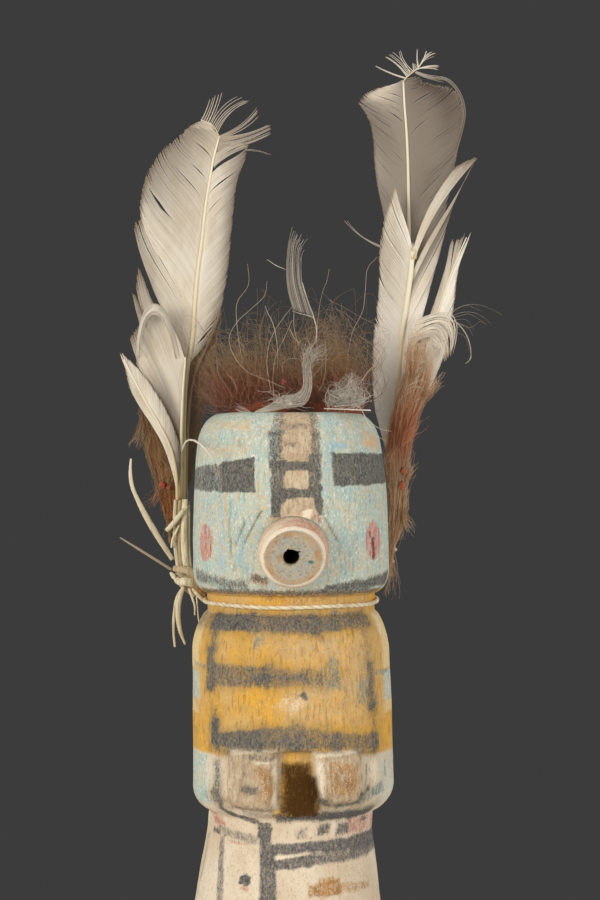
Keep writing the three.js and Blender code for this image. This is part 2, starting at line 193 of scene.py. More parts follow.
def side_outline():
    """Half width and height from the middle of the sole, round the side, to the crown's middle."""
    head, torso, neck, waist = HEAD_WIDTH / 2, TORSO_WIDTH / 2, NECK_WIDTH / 2, WAIST_WIDTH / 2
    sole, leg, hem = SOLE_WIDTH / 2, LEG_WIDTH / 2, HEM_WIDTH / 2
    moves = [
        ((0, 0),), ((sole - 1.2, 0),), ((sole, 0.2), (sole, 2)), ((sole, FOOT_HEIGHT - 3),),
        ((sole - 0.5, FOOT_HEIGHT), (leg - 1.5, FOOT_HEIGHT + 1.5)), ((leg, HEM),), ((hem - 0.8, HEM),),
        ((hem, HEM + 1.2),), ((waist + 2.6, KILT_TOP - 20), (waist, KILT_TOP)),
        ((waist, BELLY - 0.6),), ((waist + 0.2, BELLY + 0.3), (waist + 2, BELLY + 1.2)),
        ((torso, BELLY + 4), (torso, BELLY + 8)), ((torso - 0.7, SHOULDER - 10),),
        ((torso - 1.4, SHOULDER - 4), (neck + 1, SHOULDER)), ((neck, SHOULDER + 0.8),),
        ((neck, CHIN - 0.8),), ((head, CHIN + 0.8), (head, CHIN + 7)), ((head, CHIN + 18),),
        ((head - 0.3, HEAD_TOP - 19), (head - 1.6, HEAD_TOP - 10.5)),
        ((head - 2.8, HEAD_TOP - 0.8), (head - 9.5, HEAD_TOP)), ((0, HEAD_TOP),),
    ]
    line = np.array([moves[0][0]], float)
    for move in moves[1:]:
        new = np.array([move[0]], float) if len(move) == 1 else bent(line[-1], *move)
        line = np.concatenate([line, new])
    return line


def squared(value):
    """Sine or cosine pulled towards the corners of a superellipse."""
    return np.sign(value) * np.abs(value) ** (2 / ROUNDNESS)


def ramp(value, low, high):
    """0 below low, 1 above high, and a smooth step between them."""
    t = np.clip((value - low) / (high - low), 0, 1)
    return t * t * (3 - 2 * t)


def lumps(places, seed):
    """Smooth random values from -1 to 1. Each whole step of the three coordinates has a random
    value at its corners, and the values between them are blended with a smooth step."""
    table = np.random.default_rng(seed).uniform(-1, 1, 4096)
    corner = np.floor(places).astype(np.int64)
    t = places - corner
    t = t * t * (3 - 2 * t)
    total = np.zeros(places.shape[:-1])
    for i in (0, 1):
        for j in (0, 1):
            for k in (0, 1):
                key = ((corner[..., 0] + i) * 73856093 ^ (corner[..., 1] + j) * 19349663
                       ^ (corner[..., 2] + k) * 83492791) & 4095
                weight = (np.abs(1 - i - t[..., 0]) * np.abs(1 - j - t[..., 1])
                          * np.abs(1 - k - t[..., 2]))
                total += weight * table[key]
    return total


outline = side_outline()
SWAY = np.array([[0, -0.5], [69, -0.9], [91.5, -0.3], [105, 0.7], [147, 0], [170, 0.05], [215.2, -0.6]])
FORWARD = np.array([[0, -3.5], [FOOT_HEIGHT - 3, -3.5], [FOOT_HEIGHT + 2, 0]])
FOOT_REACH = np.array([[0, 1.5], [FOOT_HEIGHT - 3, 1.5], [FOOT_HEIGHT + 2, 0]])


def along(table, key):
    """Straight-line reading of a two-column table."""
    return np.interp(key, table[:, 0], table[:, 1])


def skin(half, angle, height):
    """The point of the figure's section at an angle from the front, for a half width."""
    x = along(SWAY, height) + half * squared(np.sin(angle))
    reach = (half * DEPTH_PER_WIDTH + along(FOOT_REACH, height)) * np.minimum(half, 8) / 8
    y = along(FORWARD, height) - np.where(half < 8, half * DEPTH_PER_WIDTH, 0) * squared(np.cos(angle)) \
        - np.where(half < 8, 0, reach) * squared(np.cos(angle))
    return np.stack(np.broadcast_arrays(x, y, height), axis=-1)


def half_width(height):
    """Half the figure's width at a height, on its side."""
    side = outline[1:-1]
    return np.interp(height, side[:, 1], side[:, 0])


UNROLL = 28.0   # millimetres of painted surface for one radian round the figure


def unrolled(x, height):
    """How far round the figure, in millimetres, a point of its front at width x lies."""
    share = (x - along(SWAY, height)) / half_width(height)
    return UNROLL * np.arcsin(np.sign(share) * np.minimum(np.abs(share), 1) ** (ROUNDNESS / 2))


def stroke(round_place, height, mark):
    """How far inside a brush stroke a place is, in millimetres. The stroke runs straight from
    (x0, z0) to (x1, z1), its width goes from w0 to w1, and a ninth number lifts its middle."""
    x0, z0, x1, z1, w0, w1 = mark[:6]
    bow = mark[8] if len(mark) > 8 else 0.0
    a0, a1 = unrolled(x0, z0), unrolled(x1, z1)
    length = math.hypot(a1 - a0, z1 - z0)
    ux, uz = (a1 - a0) / length, (z1 - z0) / length
    t = ((round_place - a0) * ux + (height - z0) * uz) / length
    aside = -(round_place - a0) * uz + (height - z0) * ux - bow * 4 * t * (1 - t)
    width = w0 + (w1 - w0) * np.clip(t, 0, 1)
    inside_ends = np.minimum(t, 1 - t) * length
    return np.minimum(width / 2 - np.abs(aside), inside_ends)


COLUMNS, ROWS = 214, 428
# Rows are packed twice as close above the lower kilt, where most of the paint is.
steps = np.hypot(*np.diff(outline, axis=0).T)
middle_height = (outline[1:, 1] + outline[:-1, 1]) / 2
flat_end = (outline[1:, 1] == outline[:-1, 1]) & (np.abs(outline[1:, 0] - outline[:-1, 0]) > 5)
steps = steps * np.where(middle_height > 69, 2.0, 1.0) * np.where(flat_end, 0.3, 1.0)
travel = np.concatenate([[0], np.cumsum(steps)])
level = np.linspace(0, travel[-1], ROWS + 2)[1:-1]
half = np.interp(level, travel, outline[:, 0])[:, None]
height = np.interp(level, travel, outline[:, 1])[:, None]
turn = np.linspace(-math.pi, math.pi, COLUMNS, endpoint=False)
angle = (turn - 0.42 * np.sin(turn))[None, :]
round_place = UNROLL * angle + 0 * height
height = height + 0 * angle
half = half + 0 * angle

# The knife left shallow facets, the root has upright grain, and the skin is slightly pitted.
flat = skin(half, angle, height)
facets = lumps(flat / [9.0, 9.0, 16.0], 11) * 0.22 + lumps(flat / [5.0, 5.0, 8.0], 12) * 0.1
grain = lumps(flat / [0.75, 0.75, 6.5], 13) * 0.05 + lumps(flat / [1.6, 1.6, 11.0], 14) * 0.05
pits = lumps(flat / [0.8, 0.8, 1.1], 15) * 0.035
side_wall = ramp(half, 8, 16)
relief = (facets + grain + pits) * side_wall

# Hands stand proud of the belly, with rounded tops, and the hollow between them is cut back.
front = np.abs(angle) < math.pi / 2
FAR_OUTSIDE = -9.0


def on_front(inside):
    """How far inside a form of the front a place is; every place at the back is far outside."""
    return np.where(front, inside, FAR_OUTSIDE)


hand_ends = ((-19, -3.5, 118.4, 100.4, 5.5), (6.3, 21.3, 117.6, 102.2, 3.4))
hands = np.full(height.shape, FAR_OUTSIDE)
across = flat[..., 0] * (1 + HAND_PROUD / np.maximum(half, 9))
for left, right, top, bottom, corner in hand_ends:
    from_side = np.minimum(across - left, right - across)
    from_end = np.minimum(top - height, height - bottom)
    round_off = corner - np.hypot(np.maximum(corner - from_side, 0), np.maximum(corner - from_end, 0))
    hands = np.maximum(hands, np.minimum(np.minimum(from_side, from_end), round_off))
hands = on_front(hands) + 0.3 * lumps(flat / [2.5, 9, 2.5], 16)
hand_rise = ramp(hands, -0.7, 1.1)
worn_rise = 1 - 0.22 * (1 - ramp(hands, 0.3, 4.0))
hand_lumps = 0.26 * lumps(flat / [3.2, 9, 4.2], 17)
relief = relief + hand_rise * (HAND_PROUD * worn_rise + hand_lumps)

# Small damage: cracks beside the snout, a nick in the chest, a gouge in the upper band.
damage = [
    ((-8.5, 186.5, -13.5, 177, 0.7, 0.3), 0.32), ((-13, 183.5, -16, 176.5, 0.5, 0.3), 0.25),
    ((-17.3, 178.5, -17.6, 170, 0.6, 0.3), 0.2), ((9.8, 184.5, 13.6, 177.5, 0.6, 0.3), 0.28),
    ((3.2, 134.1, 4.7, 132.3, 1.7, 0.5), 0.36), ((-15.4, 154.2, -16.8, 151.6, 1.1, 0.5), 0.42),
    ((-17.8, 178.6, -17.3, 190, 0.9, 0.4), 0.14), ((-10.3, 149, -10.9, 142.5, 0.7, 0.4), 0.14),
    ((-3.4, 104, 5.6, 103.2, 0.8, 0.6), 0.1), ((17.9, 152.2, 18.3, 148.2, 0.6, 0.4), 0.2),
]
cuts = np.zeros(height.shape)
for mark, deep in damage:
    cut = ramp(on_front(stroke(round_place, height, mark)) + 0.15 * lumps(flat, 23), -0.25, 0.2)
    relief = relief - deep * cut
    cuts = np.maximum(cuts, np.minimum(deep * 2.2, 1) * cut)

points = skin(half + relief, angle, height)
points[..., 2] -= 0.35 * ramp(flat[..., 2], 214.6, 215.2) * (1 + lumps(flat / 6.0, 18)) * 0.5

# The hollow between the hands is cut flat at its back, deepest at its lower right.
hollow = stroke(round_place, height, (0.8, 117.4, 1.4, 93.6, 8.0, 11.4))
hollow_wall = ramp(on_front(hollow) + 0.2 * lumps(flat / 2.0, 19), -0.35, 0.55)
hollow_floor = HOLLOW_BACK + 0.12 * lumps(flat / [1.2, 9, 5.0], 20)
below_belly = ramp(height, BELLY + 0.8, BELLY + 2.4)
points[..., 1] += np.maximum(hollow_floor - points[..., 1], 0) * hollow_wall * below_belly

# A groove before and behind parts the legs and the feet.
front_reach = -SOLE_WIDTH / 2 * DEPTH_PER_WIDTH - 1
groove_half = 4.5 - 1.5 * np.clip(height / HEM, 0, 1)
in_groove = (1 - ramp(np.abs(points[..., 0] + 0.6), groove_half - 0.5, groove_half + 0.3)) \
    * (1 - ramp(height, HEM - 2.0, HEM - 0.4))
groove_front, groove_back = front_reach + LEG_GROOVE_DEPTH, -front_reach - LEG_GROOVE_DEPTH
points[..., 1] += np.maximum(groove_front - points[..., 1], 0) * in_groove
points[..., 1] -= np.maximum(points[..., 1] - groove_back, 0) * in_groove


def new_mesh(name, points, faces, values, material):
    """An object whose mesh is points in millimetres, arrays of faces with three or more corners
    each, and named values at the points. Its place is in its mesh."""
    mesh = bpy.data.meshes.new(name)
    corners = np.concatenate([group.ravel() for group in faces])
    sizes = np.concatenate([np.full(len(group), group.shape[1]) for group in faces])
    mesh.vertices.add(len(points))
    mesh.vertices.foreach_set("co", (points * MM).astype(np.float32).ravel())
    mesh.loops.add(len(corners))
    mesh.loops.foreach_set("vertex_index", corners.astype(np.int32))
    mesh.polygons.add(len(sizes))
    mesh.polygons.foreach_set("loop_start", np.concatenate([[0], np.cumsum(sizes)[:-1]]).astype(np.int32))
    mesh.update(calc_edges=True)
    mesh.polygons.foreach_set("use_smooth", np.ones(len(sizes), bool))
    for key, value in values.items():
        attribute = mesh.attributes.new(key, "FLOAT", "POINT")
        attribute.data.foreach_set("value", value.astype(np.float32).ravel())
    mesh.materials.append(material)
    piece = bpy.data.objects.new(name, mesh)
    scene.collection.objects.link(piece)
    return piece


def wrapped_faces(rows, columns):
    """Quads of a grid of points whose columns close in a ring, facing out where the rows rise
    and the columns turn anticlockwise seen from above."""
    row, column = np.meshgrid(np.arange(rows - 1), np.arange(columns), indexing="ij")
    after = (column + 1) % columns
    return np.stack([row * columns + column, row * columns + after,
                     (row + 1) * columns + after, (row + 1) * columns + column], axis=-1).reshape(-1, 4)


def ring_caps(rows, columns):
    """Triangles that close the first and the last ring onto two points added after the grid."""
    column = np.arange(columns)
    after = (column + 1) % columns
    last = (rows - 1) * columns
    first_pole, last_pole = rows * columns, rows * columns + 1
    return np.concatenate([
        np.stack([after, column, np.full(columns, first_pole)], axis=-1),
        np.stack([last + column, last + after, np.full(columns, last_pole)], axis=-1)])


# The marks of each paint, as brush strokes on the front: from (x, z) to (x, z), the widths at
# the two ends, how thickly the paint covers, how soft its edge is, and the bow if it has one.
charcoal_and_shadow_marks = [
    # the mask's eyes
    (-31, 195.2, -17.5, 196.2, 5.8, 8.8, 0.74, 0.5), (-20, 196.2, -10.3, 196.9, 8.6, 10, 0.94, 0.35),
    (12, 198.4, 28.8, 198.6, 9.8, 8.6, 0.88, 0.35),
    # the two upright lines over the snout and the bars between them
    (-2.9, 215.8, -4.3, 208.6, 3, 4.4, 0.52, 1), (-4.6, 209.4, -4.2, 198.6, 4.2, 3.5, 0.66, 0.7),
    (-4, 200.6, -3.9, 189, 3.4, 3.3, 0.8, 0.5), (-3.9, 191, -4.4, 184.6, 2.7, 2.3, 0.86, 0.4),
    (5.4, 215.8, 6.8, 208, 4, 2.6, 0.55, 0.9), (7, 209, 7.4, 202, 2.6, 3, 0.62, 0.7),
    (6.9, 203, 6.9, 192.6, 3.6, 3.5, 0.76, 0.5), (7.3, 193.6, 8.7, 185, 3.3, 1.6, 0.86, 0.4),
    (-3.6, 199.5, 6, 199.5, 2.8, 2.6, 0.9, 0.4), (-3.6, 191.5, 6, 191.7, 2.8, 2.6, 0.88, 0.45),
    (-1.4, 210.6, 5, 210.6, 2.2, 2, 0.46, 0.7, 0.4), (-2, 206, 1.6, 205.6, 2, 1.4, 0.55, 0.6),
    # under the mask's edge, and a thin line of painted shade in the crease beneath it
    (-28, 167.4, -12, 164.8, 4.2, 2.4, 0.62, 1.2), (9.6, 164.2, 28.4, 166.4, 2, 4.2, 0.84, 0.9),
    (-26, 162.8, 26, 162.8, 1.6, 1.6, 0.72, 0.7), (-11.4, 167.4, -6.6, 166.4, 2, 1.6, 0.62, 0.6),
    # bands over the chest and the uprights at their ends
    (-27.6, 154, -21, 154.2, 5.2, 4.4, 0.5, 1.2), (-22.8, 153.9, -11, 154.2, 4.6, 5, 0.9, 0.7),
    (-11.8, 154.2, 8, 153.6, 5.2, 5.8, 0.72, 1.2), (6.6, 153.8, 22.4, 155, 5.2, 4.8, 0.66, 1.1),
    (-6, 154.6, 12, 153.8, 2, 1.6, 0.3, 0.8), (-21.8, 152, -22.2, 145, 3.4, 3.2, 0.56, 0.8),
    (-23.2, 146.6, -23.6, 134, 3.4, 4.2, 0.72, 0.8), (-22.6, 138.8, -6, 138.9, 6.4, 6.2, 0.64, 1.2),
    (-7, 138.9, 9, 138.6, 6.2, 4.4, 0.5, 1.4), (-11.5, 138.6, 4.6, 138.8, 1.8, 1.6, 0.46, 0.7),
    (8, 138, 15, 137.6, 3.8, 3, 0.36, 1.4), (21.4, 152, 22.4, 142, 2.4, 2.4, 0.34, 1),
    (23, 142.4, 23.4, 128.6, 3, 3.8, 0.62, 0.9), (23.6, 130, 24.4, 117, 3, 3, 0.42, 1),
    (-21.9, 129.2, -22, 125, 2, 2.6, 0.55, 0.8), (-21.9, 126, -22.2, 118.4, 3, 3, 0.95, 0.5),
    (-22.6, 119.9, -8, 121, 4.2, 5.8, 0.82, 1), (-9, 121, 3, 121.4, 5.8, 8, 0.68, 1.2),
    (2, 121.2, 14, 120.2, 7.6, 5, 0.6, 1.3), (12, 120.2, 25.4, 119.2, 5, 5.2, 0.62, 1.1),
    (-13, 119.8, 8, 119.4, 1.6, 1.6, 0.34, 0.8), (-22, 117.8, -17.6, 116.4, 2, 1.4, 0.5, 0.7),
    # smears beside the hands, and the dark line under them, partly paint and partly painted shadow
    (-21.4, 114.6, -21, 104.6, 2.6, 3.4, 0.42, 1.2), (-23, 105.6, -19.6, 101.4, 3.2, 3, 0.66, 0.9),
    (22, 115.4, 21.6, 106, 0.5, 0.5, 0.6, 0.3), (8, 103.8, 10, 103, 1.5, 1.5, 0.86, 0.4),
    (9.8, 102.2, 20, 102.8, 1.1, 1.4, 0.7, 0.5, -0.8), (19.6, 103.6, 23, 106.4, 1.8, 1.6, 0.74, 0.5),
    (19.8, 116.6, 24.6, 116.4, 1, 0.8, 0.66, 0.3), (-13.6, 106.9, -8.8, 106.2, 2, 2.4, 0.62, 0.5),
    (-12, 115.9, -4, 115.6, 1.3, 1.5, 0.34, 0.3), (-16.4, 101.2, -5, 100, 1.1, 1.3, 0.52, 0.5),
    (11, 110, 11.4, 104.4, 1, 1.6, 0.3, 0.8), (-12.6, 114.2, -12, 109, 1.6, 1.2, 0.4, 0.6),
    # the belt line, partly painted shadow under the hands, and a spotted border below it
    (-20.4, 100.6, -15.6, 97.9, 1.4, 1.9, 0.88, 0.5, -0.3), (-16.4, 98.2, -9, 96.2, 1.6, 1.7, 0.82, 0.6),
    (-4.4, 97.7, 9.6, 98.2, 2.8, 2.8, 0.88, 1.2), (8.6, 98.2, 23.6, 98.6, 3.4, 3, 0.97, 1),
    (-9.4, 95.4, -5.6, 95.2, 2.3, 2.3, 0.8, 0.5), (-9.4, 93.4, -5.6, 93.2, 2.6, 2.6, 0.86, 0.5),
    (1.4, 93.4, 5, 93.4, 3.4, 3.4, 0.5, 1.3), (7.9, 94.3, 11.6, 94.2, 3.5, 3.5, 0.8, 1.2),
    (13.1, 94.1, 17, 94, 3.8, 3.8, 0.8, 1.3), (20.6, 95.8, 22.2, 95.8, 1.6, 1.6, 0.7, 0.5),
    (-22.9, 92.4, -20.5, 91.9, 2, 2, 0.8, 0.5), (-14.9, 79.5, -11.6, 79.5, 2.1, 2.1, 0.98, 0.35),
    (-13.6, 81, -12.9, 77.9, 1.9, 1.5, 0.95, 0.35), (-13.8, 82.6, -12.6, 80.4, 1.6, 1.6, 0.3, 0.6),
]
smoke_marks = [
    # the kilt's thinner grey lines
    (-21.6, 93.4, -9.6, 90.8, 3, 2.8, 0.52, 0.7), (-20, 91.2, -20.6, 44, 3.2, 3.4, 0.6, 0.7),
    (-24.2, 90.6, -28.8, 66, 1.6, 1.6, 0.5, 0.6), (-7.6, 92.8, -6.6, 84, 4.4, 4.6, 0.84, 0.6),
    (-6.6, 85, -6, 44, 4.8, 5.6, 0.8, 0.6), (-5.6, 88.4, 6, 89.2, 3.2, 2.9, 0.8, 0.5),
    (5, 89.2, 25.6, 90, 3.2, 5, 0.84, 0.7), (-4.6, 83.9, 6, 85.4, 2.8, 3.6, 0.78, 0.5, 0.2),
    (5, 85.6, 25, 87, 3.4, 3.6, 0.72, 0.9, 0.2), (-31.4, 42.6, 31.4, 42.6, 3.6, 3.6, 0.6, 0.6),
    (-14, 99.6, -4.8, 98.4, 2.4, 2, 0.4, 0.8), (13.4, 112, 16.4, 106.4, 3, 3, 0.34, 1.4),
    (-11.8, 115.8, -4, 115.6, 1.6, 1.6, 0.4, 0.4),
]
teal_marks = [
    (-10, 155.6, -9.6, 151.2, 3.4, 3.6, 0.5, 0.9), (-9.2, 150.8, -8.6, 147.2, 3.8, 3.8, 0.44, 1),
    (13, 157.6, 13, 151.4, 3.2, 3.4, 0.52, 0.9), (12.4, 144.2, 12.4, 134.8, 3.2, 4.8, 0.52, 1.1),
    (20.6, 138.2, 20.8, 129.4, 4.2, 5.8, 0.4, 1.2), (24, 133, 25.2, 129.4, 3, 2.4, 0.6, 0.9),
    (-21.6, 113.6, -21.2, 103.6, 3, 3.6, 0.55, 1.2), (-28.6, 141, -24.6, 140.6, 2, 1.6, 0.5, 0.9),
    (24.6, 139.2, 28.6, 139, 1.6, 1.4, 0.55, 0.8), (20, 102.6, 27, 106.4, 2.6, 4, 0.6, 1.1),
    (27.4, 113.6, 27.6, 108.4, 1.4, 1.6, 0.5, 0.7), (-26, 103.6, -21, 101.4, 2.6, 2.6, 0.45, 1),
]
bare_marks = [
    # the strip of bare wood above the snout, the hands, and small chips
    (1.9, 216.4, 1.7, 184, 9.4, 9.8, 0.96, 0.8), (1.5, 188.6, 1.8, 183.4, 9.8, 12, 0.8, 0.9),
    (-11.3, 118.8, -11.2, 100.4, 15.8, 15.4, 0.96, 0.6), (13.9, 117.8, 13.9, 102, 15.4, 14.6, 0.96, 0.7),
    (-12.4, 167.4, -6, 165.6, 3.6, 2.4, 0.5, 0.8), (3, 134.4, 4.8, 132.2, 2.6, 2, 0.7, 0.5),
    (-1, 130.4, 24, 130.4, 12, 13.6, 0.4, 3.6), (-6, 147.2, 24, 147, 8, 9.6, 0.42, 3.4),
    (-24.6, 152, -25.6, 134, 4, 4, 0.3, 1.6), (6, 139, 24, 139, 8, 9, 0.34, 3),
]
tan_marks = [
    (-24, 211.4, -11.4, 211, 3.4, 3.4, 0.36, 1.6), (-25, 203.4, -11.6, 204, 4, 3.6, 0.34, 1.6),
    (20.6, 208, 26, 205.6, 5, 5.4, 0.58, 1.5), (14.4, 212.6, 18.6, 210, 2, 2, 0.3, 1),
    (-19.2, 191.6, -18.5, 183.4, 1.3, 0.9, 0.72, 0.5), (-21.9, 191.6, -21.7, 187.6, 0.7, 0.7, 0.5, 0.4),
    (-9, 196, -7.2, 186, 2.2, 3, 0.3, 1.2), (-11, 188, -7, 183, 4, 3, 0.24, 1.4),
    (25.6, 189.6, 26.6, 186, 1.6, 1.4, 0.5, 0.8), (-28, 128, -26, 132, 3, 3, 0.4, 1.4),
]
sky_marks = [
    (9.9, 214.4, 10.7, 193.4, 3, 3, 0.5, 1), (12, 205.5, 16.2, 204.9, 2.3, 2, 0.95, 0.5),
    (-9.4, 212.6, -7.4, 206, 3.6, 3, 0.36, 1.3), (-22.6, 214, -23, 206, 4, 4, 0.34, 1.6),
    (-19.6, 189.4, -20.4, 168, 2.6, 4.6, 0.55, 1.4), (-15.6, 183, -14.4, 168.4, 2.4, 2.4, 0.26, 1.2),
    (16, 213, 15.4, 207, 3.4, 3, 0.4, 1.3), (19.4, 190, 20.2, 186, 1.6, 1.6, 0.4, 0.8),
    (-25.6, 189.8, -24.6, 184.6, 2.6, 2, 0.3, 1), (-14.2, 176, -15.4, 170, 2, 2.4, 0.5, 1.2),
    (8.8, 196.6, 11.4, 188, 2.2, 2.6, 0.36, 1),
]
brown_and_chin_shade_marks = [
    (-6.6, 113.4, -5.4, 102.6, 3.4, 3.8, 0.58, 1), (-9.6, 113, -8.4, 110, 2, 1.6, 0.4, 0.9),
    (15, 114.6, 13.4, 104.6, 8.6, 8.6, 0.52, 1.6), (5, 76.8, 14.4, 77.4, 3.6, 4.8, 0.66, 0.8),
    (13.4, 77.2, 23.2, 76.6, 3.6, 2, 0.48, 0.8), (8, 79.4, 12.6, 79.6, 2.4, 2.2, 0.5, 0.7),
    # the strokes across the neck's middle, just below the mask, are painted shade of the chin
    (-11, 167.2, -6.4, 166, 2.4, 1.8, 0.66, 0.6), (-9, 162.4, 12, 162, 4.4, 4.6, 0.4, 1.3),
    (-6.4, 158.8, 4, 158.6, 3.2, 3, 0.2, 1.2), (17.6, 109.8, 16.4, 105.6, 4, 3.6, 0.3, 1.2),
]
# Painted shade: dark brown strokes deep in the hollow between the hands, where the hands shade it.
hollow_shade_marks = [
    (2, 114, 2.4, 98.6, 6, 9, 0.8, 1.6), (3.6, 109, 4, 98.6, 4.6, 6.4, 0.92, 1.8),
    (3.4, 111, 3.8, 100, 2, 4, 0.5, 1.2),
]
rose_marks = [
    (-25.6, 98.6, -20, 94.6, 4.4, 3.6, 0.46, 1.2), (15, 95, 25, 94.2, 5, 6.6, 0.52, 1.4),
    (-22.6, 95.2, -19, 94.6, 1.6, 1.4, 0.6, 0.5), (-18.6, 90.2, -12.4, 89.8, 0.9, 0.9, 0.66, 0.4),
    (-14.2, 77.9, -12.4, 76.6, 1.8, 1.2, 0.6, 0.5), (-17, 87, -12, 84, 3.6, 3.2, 0.2, 1.2),
    (-9.6, 94.8, -6, 93.8, 2, 2, 0.3, 0.6), (6.8, 185.2, 8.6, 183.6, 1.9, 1.6, 0.62, 0.4),
    (23.4, 137.8, 25.2, 131, 2.4, 2.4, 0.45, 1), (3, 92.2, 6.4, 91.8, 1, 1, 0.4, 0.5),
    (14, 93.6, 17, 93.2, 2.4, 2.4, 0.24, 0.6), (-29, 133, -26.8, 128, 2.4, 2.4, 0.34, 1),
]
# Pale chalky strokes: chips and worn places where the white ground shows, and along the tops and inner sides
# of the hands a painted highlight where their edges catch the light.
chalk_and_highlight_marks = [
    (-17.2, 116.6, -10.6, 118, 1.4, 1.6, 0.72, 0.5), (-11, 118, -4.6, 117.2, 1.5, 1.2, 0.74, 0.5, 0.2),
    (-9, 114.4, -4.2, 114.3, 0.6, 0.8, 0.66, 0.3), (-4.3, 115.4, -4.5, 100.6, 1.2, 1.2, 0.72, 0.6),
    (7.6, 115.6, 8.2, 103.6, 2.6, 2.2, 0.66, 1.2), (6.6, 116.3, 18.6, 117.2, 1.5, 1.2, 0.8, 0.4, 0.2),
    (-2.6, 129, 1.4, 132.8, 5, 4.6, 0.36, 1.6), (1, 131.6, 6, 131.4, 4, 3, 0.24, 1.6),
    (-4, 86, 3, 86.8, 1.4, 0.6, 0.74, 0.3), (8.2, 87.9, 9.6, 87.3, 0.9, 0.9, 0.5, 0.4),
    (3.4, 185.4, 6.2, 185.6, 2.4, 2.6, 0.86, 0.4), (-3.4, 215, 3.2, 215, 1.6, 1.4, 0.3, 0.7),
    (-10.9, 202.6, -10.2, 201.8, 0.8, 0.8, 0.9, 0.25), (-14.2, 202, -14, 198, 0.3, 0.3, 0.5, 0.2),
    (-26.4, 93.4, -26, 74, 3, 3, 0.3, 1.2), (-2, 184.8, 3.4, 184.6, 1.6, 1.4, 0.4, 0.6),
    (24, 114, 24.6, 107.6, 3, 2.6, 0.4, 1.2), (-24.6, 114, -24.2, 104, 1.8, 1.4, 0.4, 0.8),
    (24.2, 156, 26, 150, 3, 2.4, 0.45, 1), (-17, 113.6, -16.4, 103.6, 3, 3, 0.26, 1.2),
]
wander = 0.34 * lumps(flat / [1.7, 9, 2.1], 21) + 0.16 * lumps(flat / [0.9, 9, 1.2], 22)


def thickness(marks, wider=0.0, thinner=1.0):
    """How thickly these strokes cover each point, from 0 to 1. A stroke is full inside and fades
    across its soft edge, and strokes that overlap add up as coats do. Wider adds millimetres all
    round and to the soft edge, and thinner scales the cover."""
    see_through = 1.0
    for mark in marks:
        inside = on_front(stroke(round_place, height, mark)) + wander + wider
        cover, soft = mark[6], mark[7] + wider
        see_through = see_through * (1 - thinner * cover * ramp(inside, -soft, soft))
    return 1 - see_through


def belt(low, high, soft=0.7):
    """1 between two heights, with soft and wandering borders."""
    at = height + wander
    return ramp(at, low - soft, low + soft) * (1 - ramp(at, high - soft, high + soft))


values = {name: thickness(marks) for name, marks in (
    ("charcoal", charcoal_and_shadow_marks), ("smoke", smoke_marks), ("teal", teal_marks), ("bare", bare_marks),
    ("tan", tan_marks), ("sky", sky_marks), ("brown", brown_and_chin_shade_marks), ("rose", rose_marks),
    ("chalk", chalk_and_highlight_marks), ("deep", hollow_shade_marks))}
values["stain"] = thickness(charcoal_and_shadow_marks, 1.1, 0.62) * belt(100.0, 158.6, 1.0)
values["cuts"] = cuts

# The mask is blue all round. The body is yellow down to the hands and in the hollow between
# them. The arms run down both sides in bands of blue, cream and yellow. The feet are brown.
around = np.abs(round_place) / UNROLL + 0.03 * wander
arm = ramp(around, 0.84, 0.98) * (1 - ramp(around, 2.2, 2.4))
arm_edge = ramp(around, 1.02, 1.2) * (1 - ramp(around, 2.2, 2.4))
left_side = (round_place < 0) * 1.0
values["blue"] = np.maximum.reduce([
    belt(163.2, 230.0, 0.4), arm * belt(100.0, 115.4) * (0.86 * left_side + 0.5 * (1 - left_side)),
    arm_edge * belt(130.4, 139.4) * 0.8])
in_hollow = ramp(on_front(hollow), -0.6, 0.4)
values["yellow"] = np.maximum(belt(115.6, 163.4, 1.0), in_hollow * belt(98.0, 118.0, 0.6))
values["cream"] = np.maximum(arm_edge * belt(139.6, 156.4) * 0.7, arm_edge * belt(126.6, 130.6) * 0.6)
values["feet"] = 1 - ramp(height + wander, FOOT_HEIGHT + 3.0, FOOT_HEIGHT + 4.6)
cheeks = [np.hypot((round_place - UNROLL * math.radians(middle)) / wide, (height - level) / 5.8)
          for middle, level, wide in ((-56.8, 176.9, 4.3), (53.5, 177.6, 4.4))]
values["cheek"] = 0.9 * (1 - ramp(np.minimum(*cheeks) + 0.16 * wander, 0.82, 1.08))
values["cheek_streak"] = thickness([
    (23.9, 178.6, 24.1, 172.0, 1.5, 1.9, 0.92, 0.6), (22.6, 180.4, 22.8, 174.0, 0.8, 0.8, 0.5, 0.5),
    (-24.8, 181.0, -24.8, 173.0, 0.7, 0.7, 0.42, 0.4), (-23.4, 180.0, -23.4, 172.6, 0.5, 0.6, 0.34, 0.4),
])
# A pale band round the outline of the raised hands: partly worn paint, partly painted highlight on their
# edges.
values["hand_edge"] = (1 - ramp(np.abs(hands - 0.1), 0.0, 1.0)) * hand_rise

rows_of_points = points.reshape(-1, 3)
poles = np.array([[along(SWAY, 0.0), -3.5, 0.0], [along(SWAY, HEAD_TOP), 0.0, HEAD_TOP - 0.2]])
figure_points = np.concatenate([rows_of_points, poles])
figure_values = {key: np.concatenate([value.ravel(), value[0, :1], value[-1, :1]])
                 for key, value in values.items()}


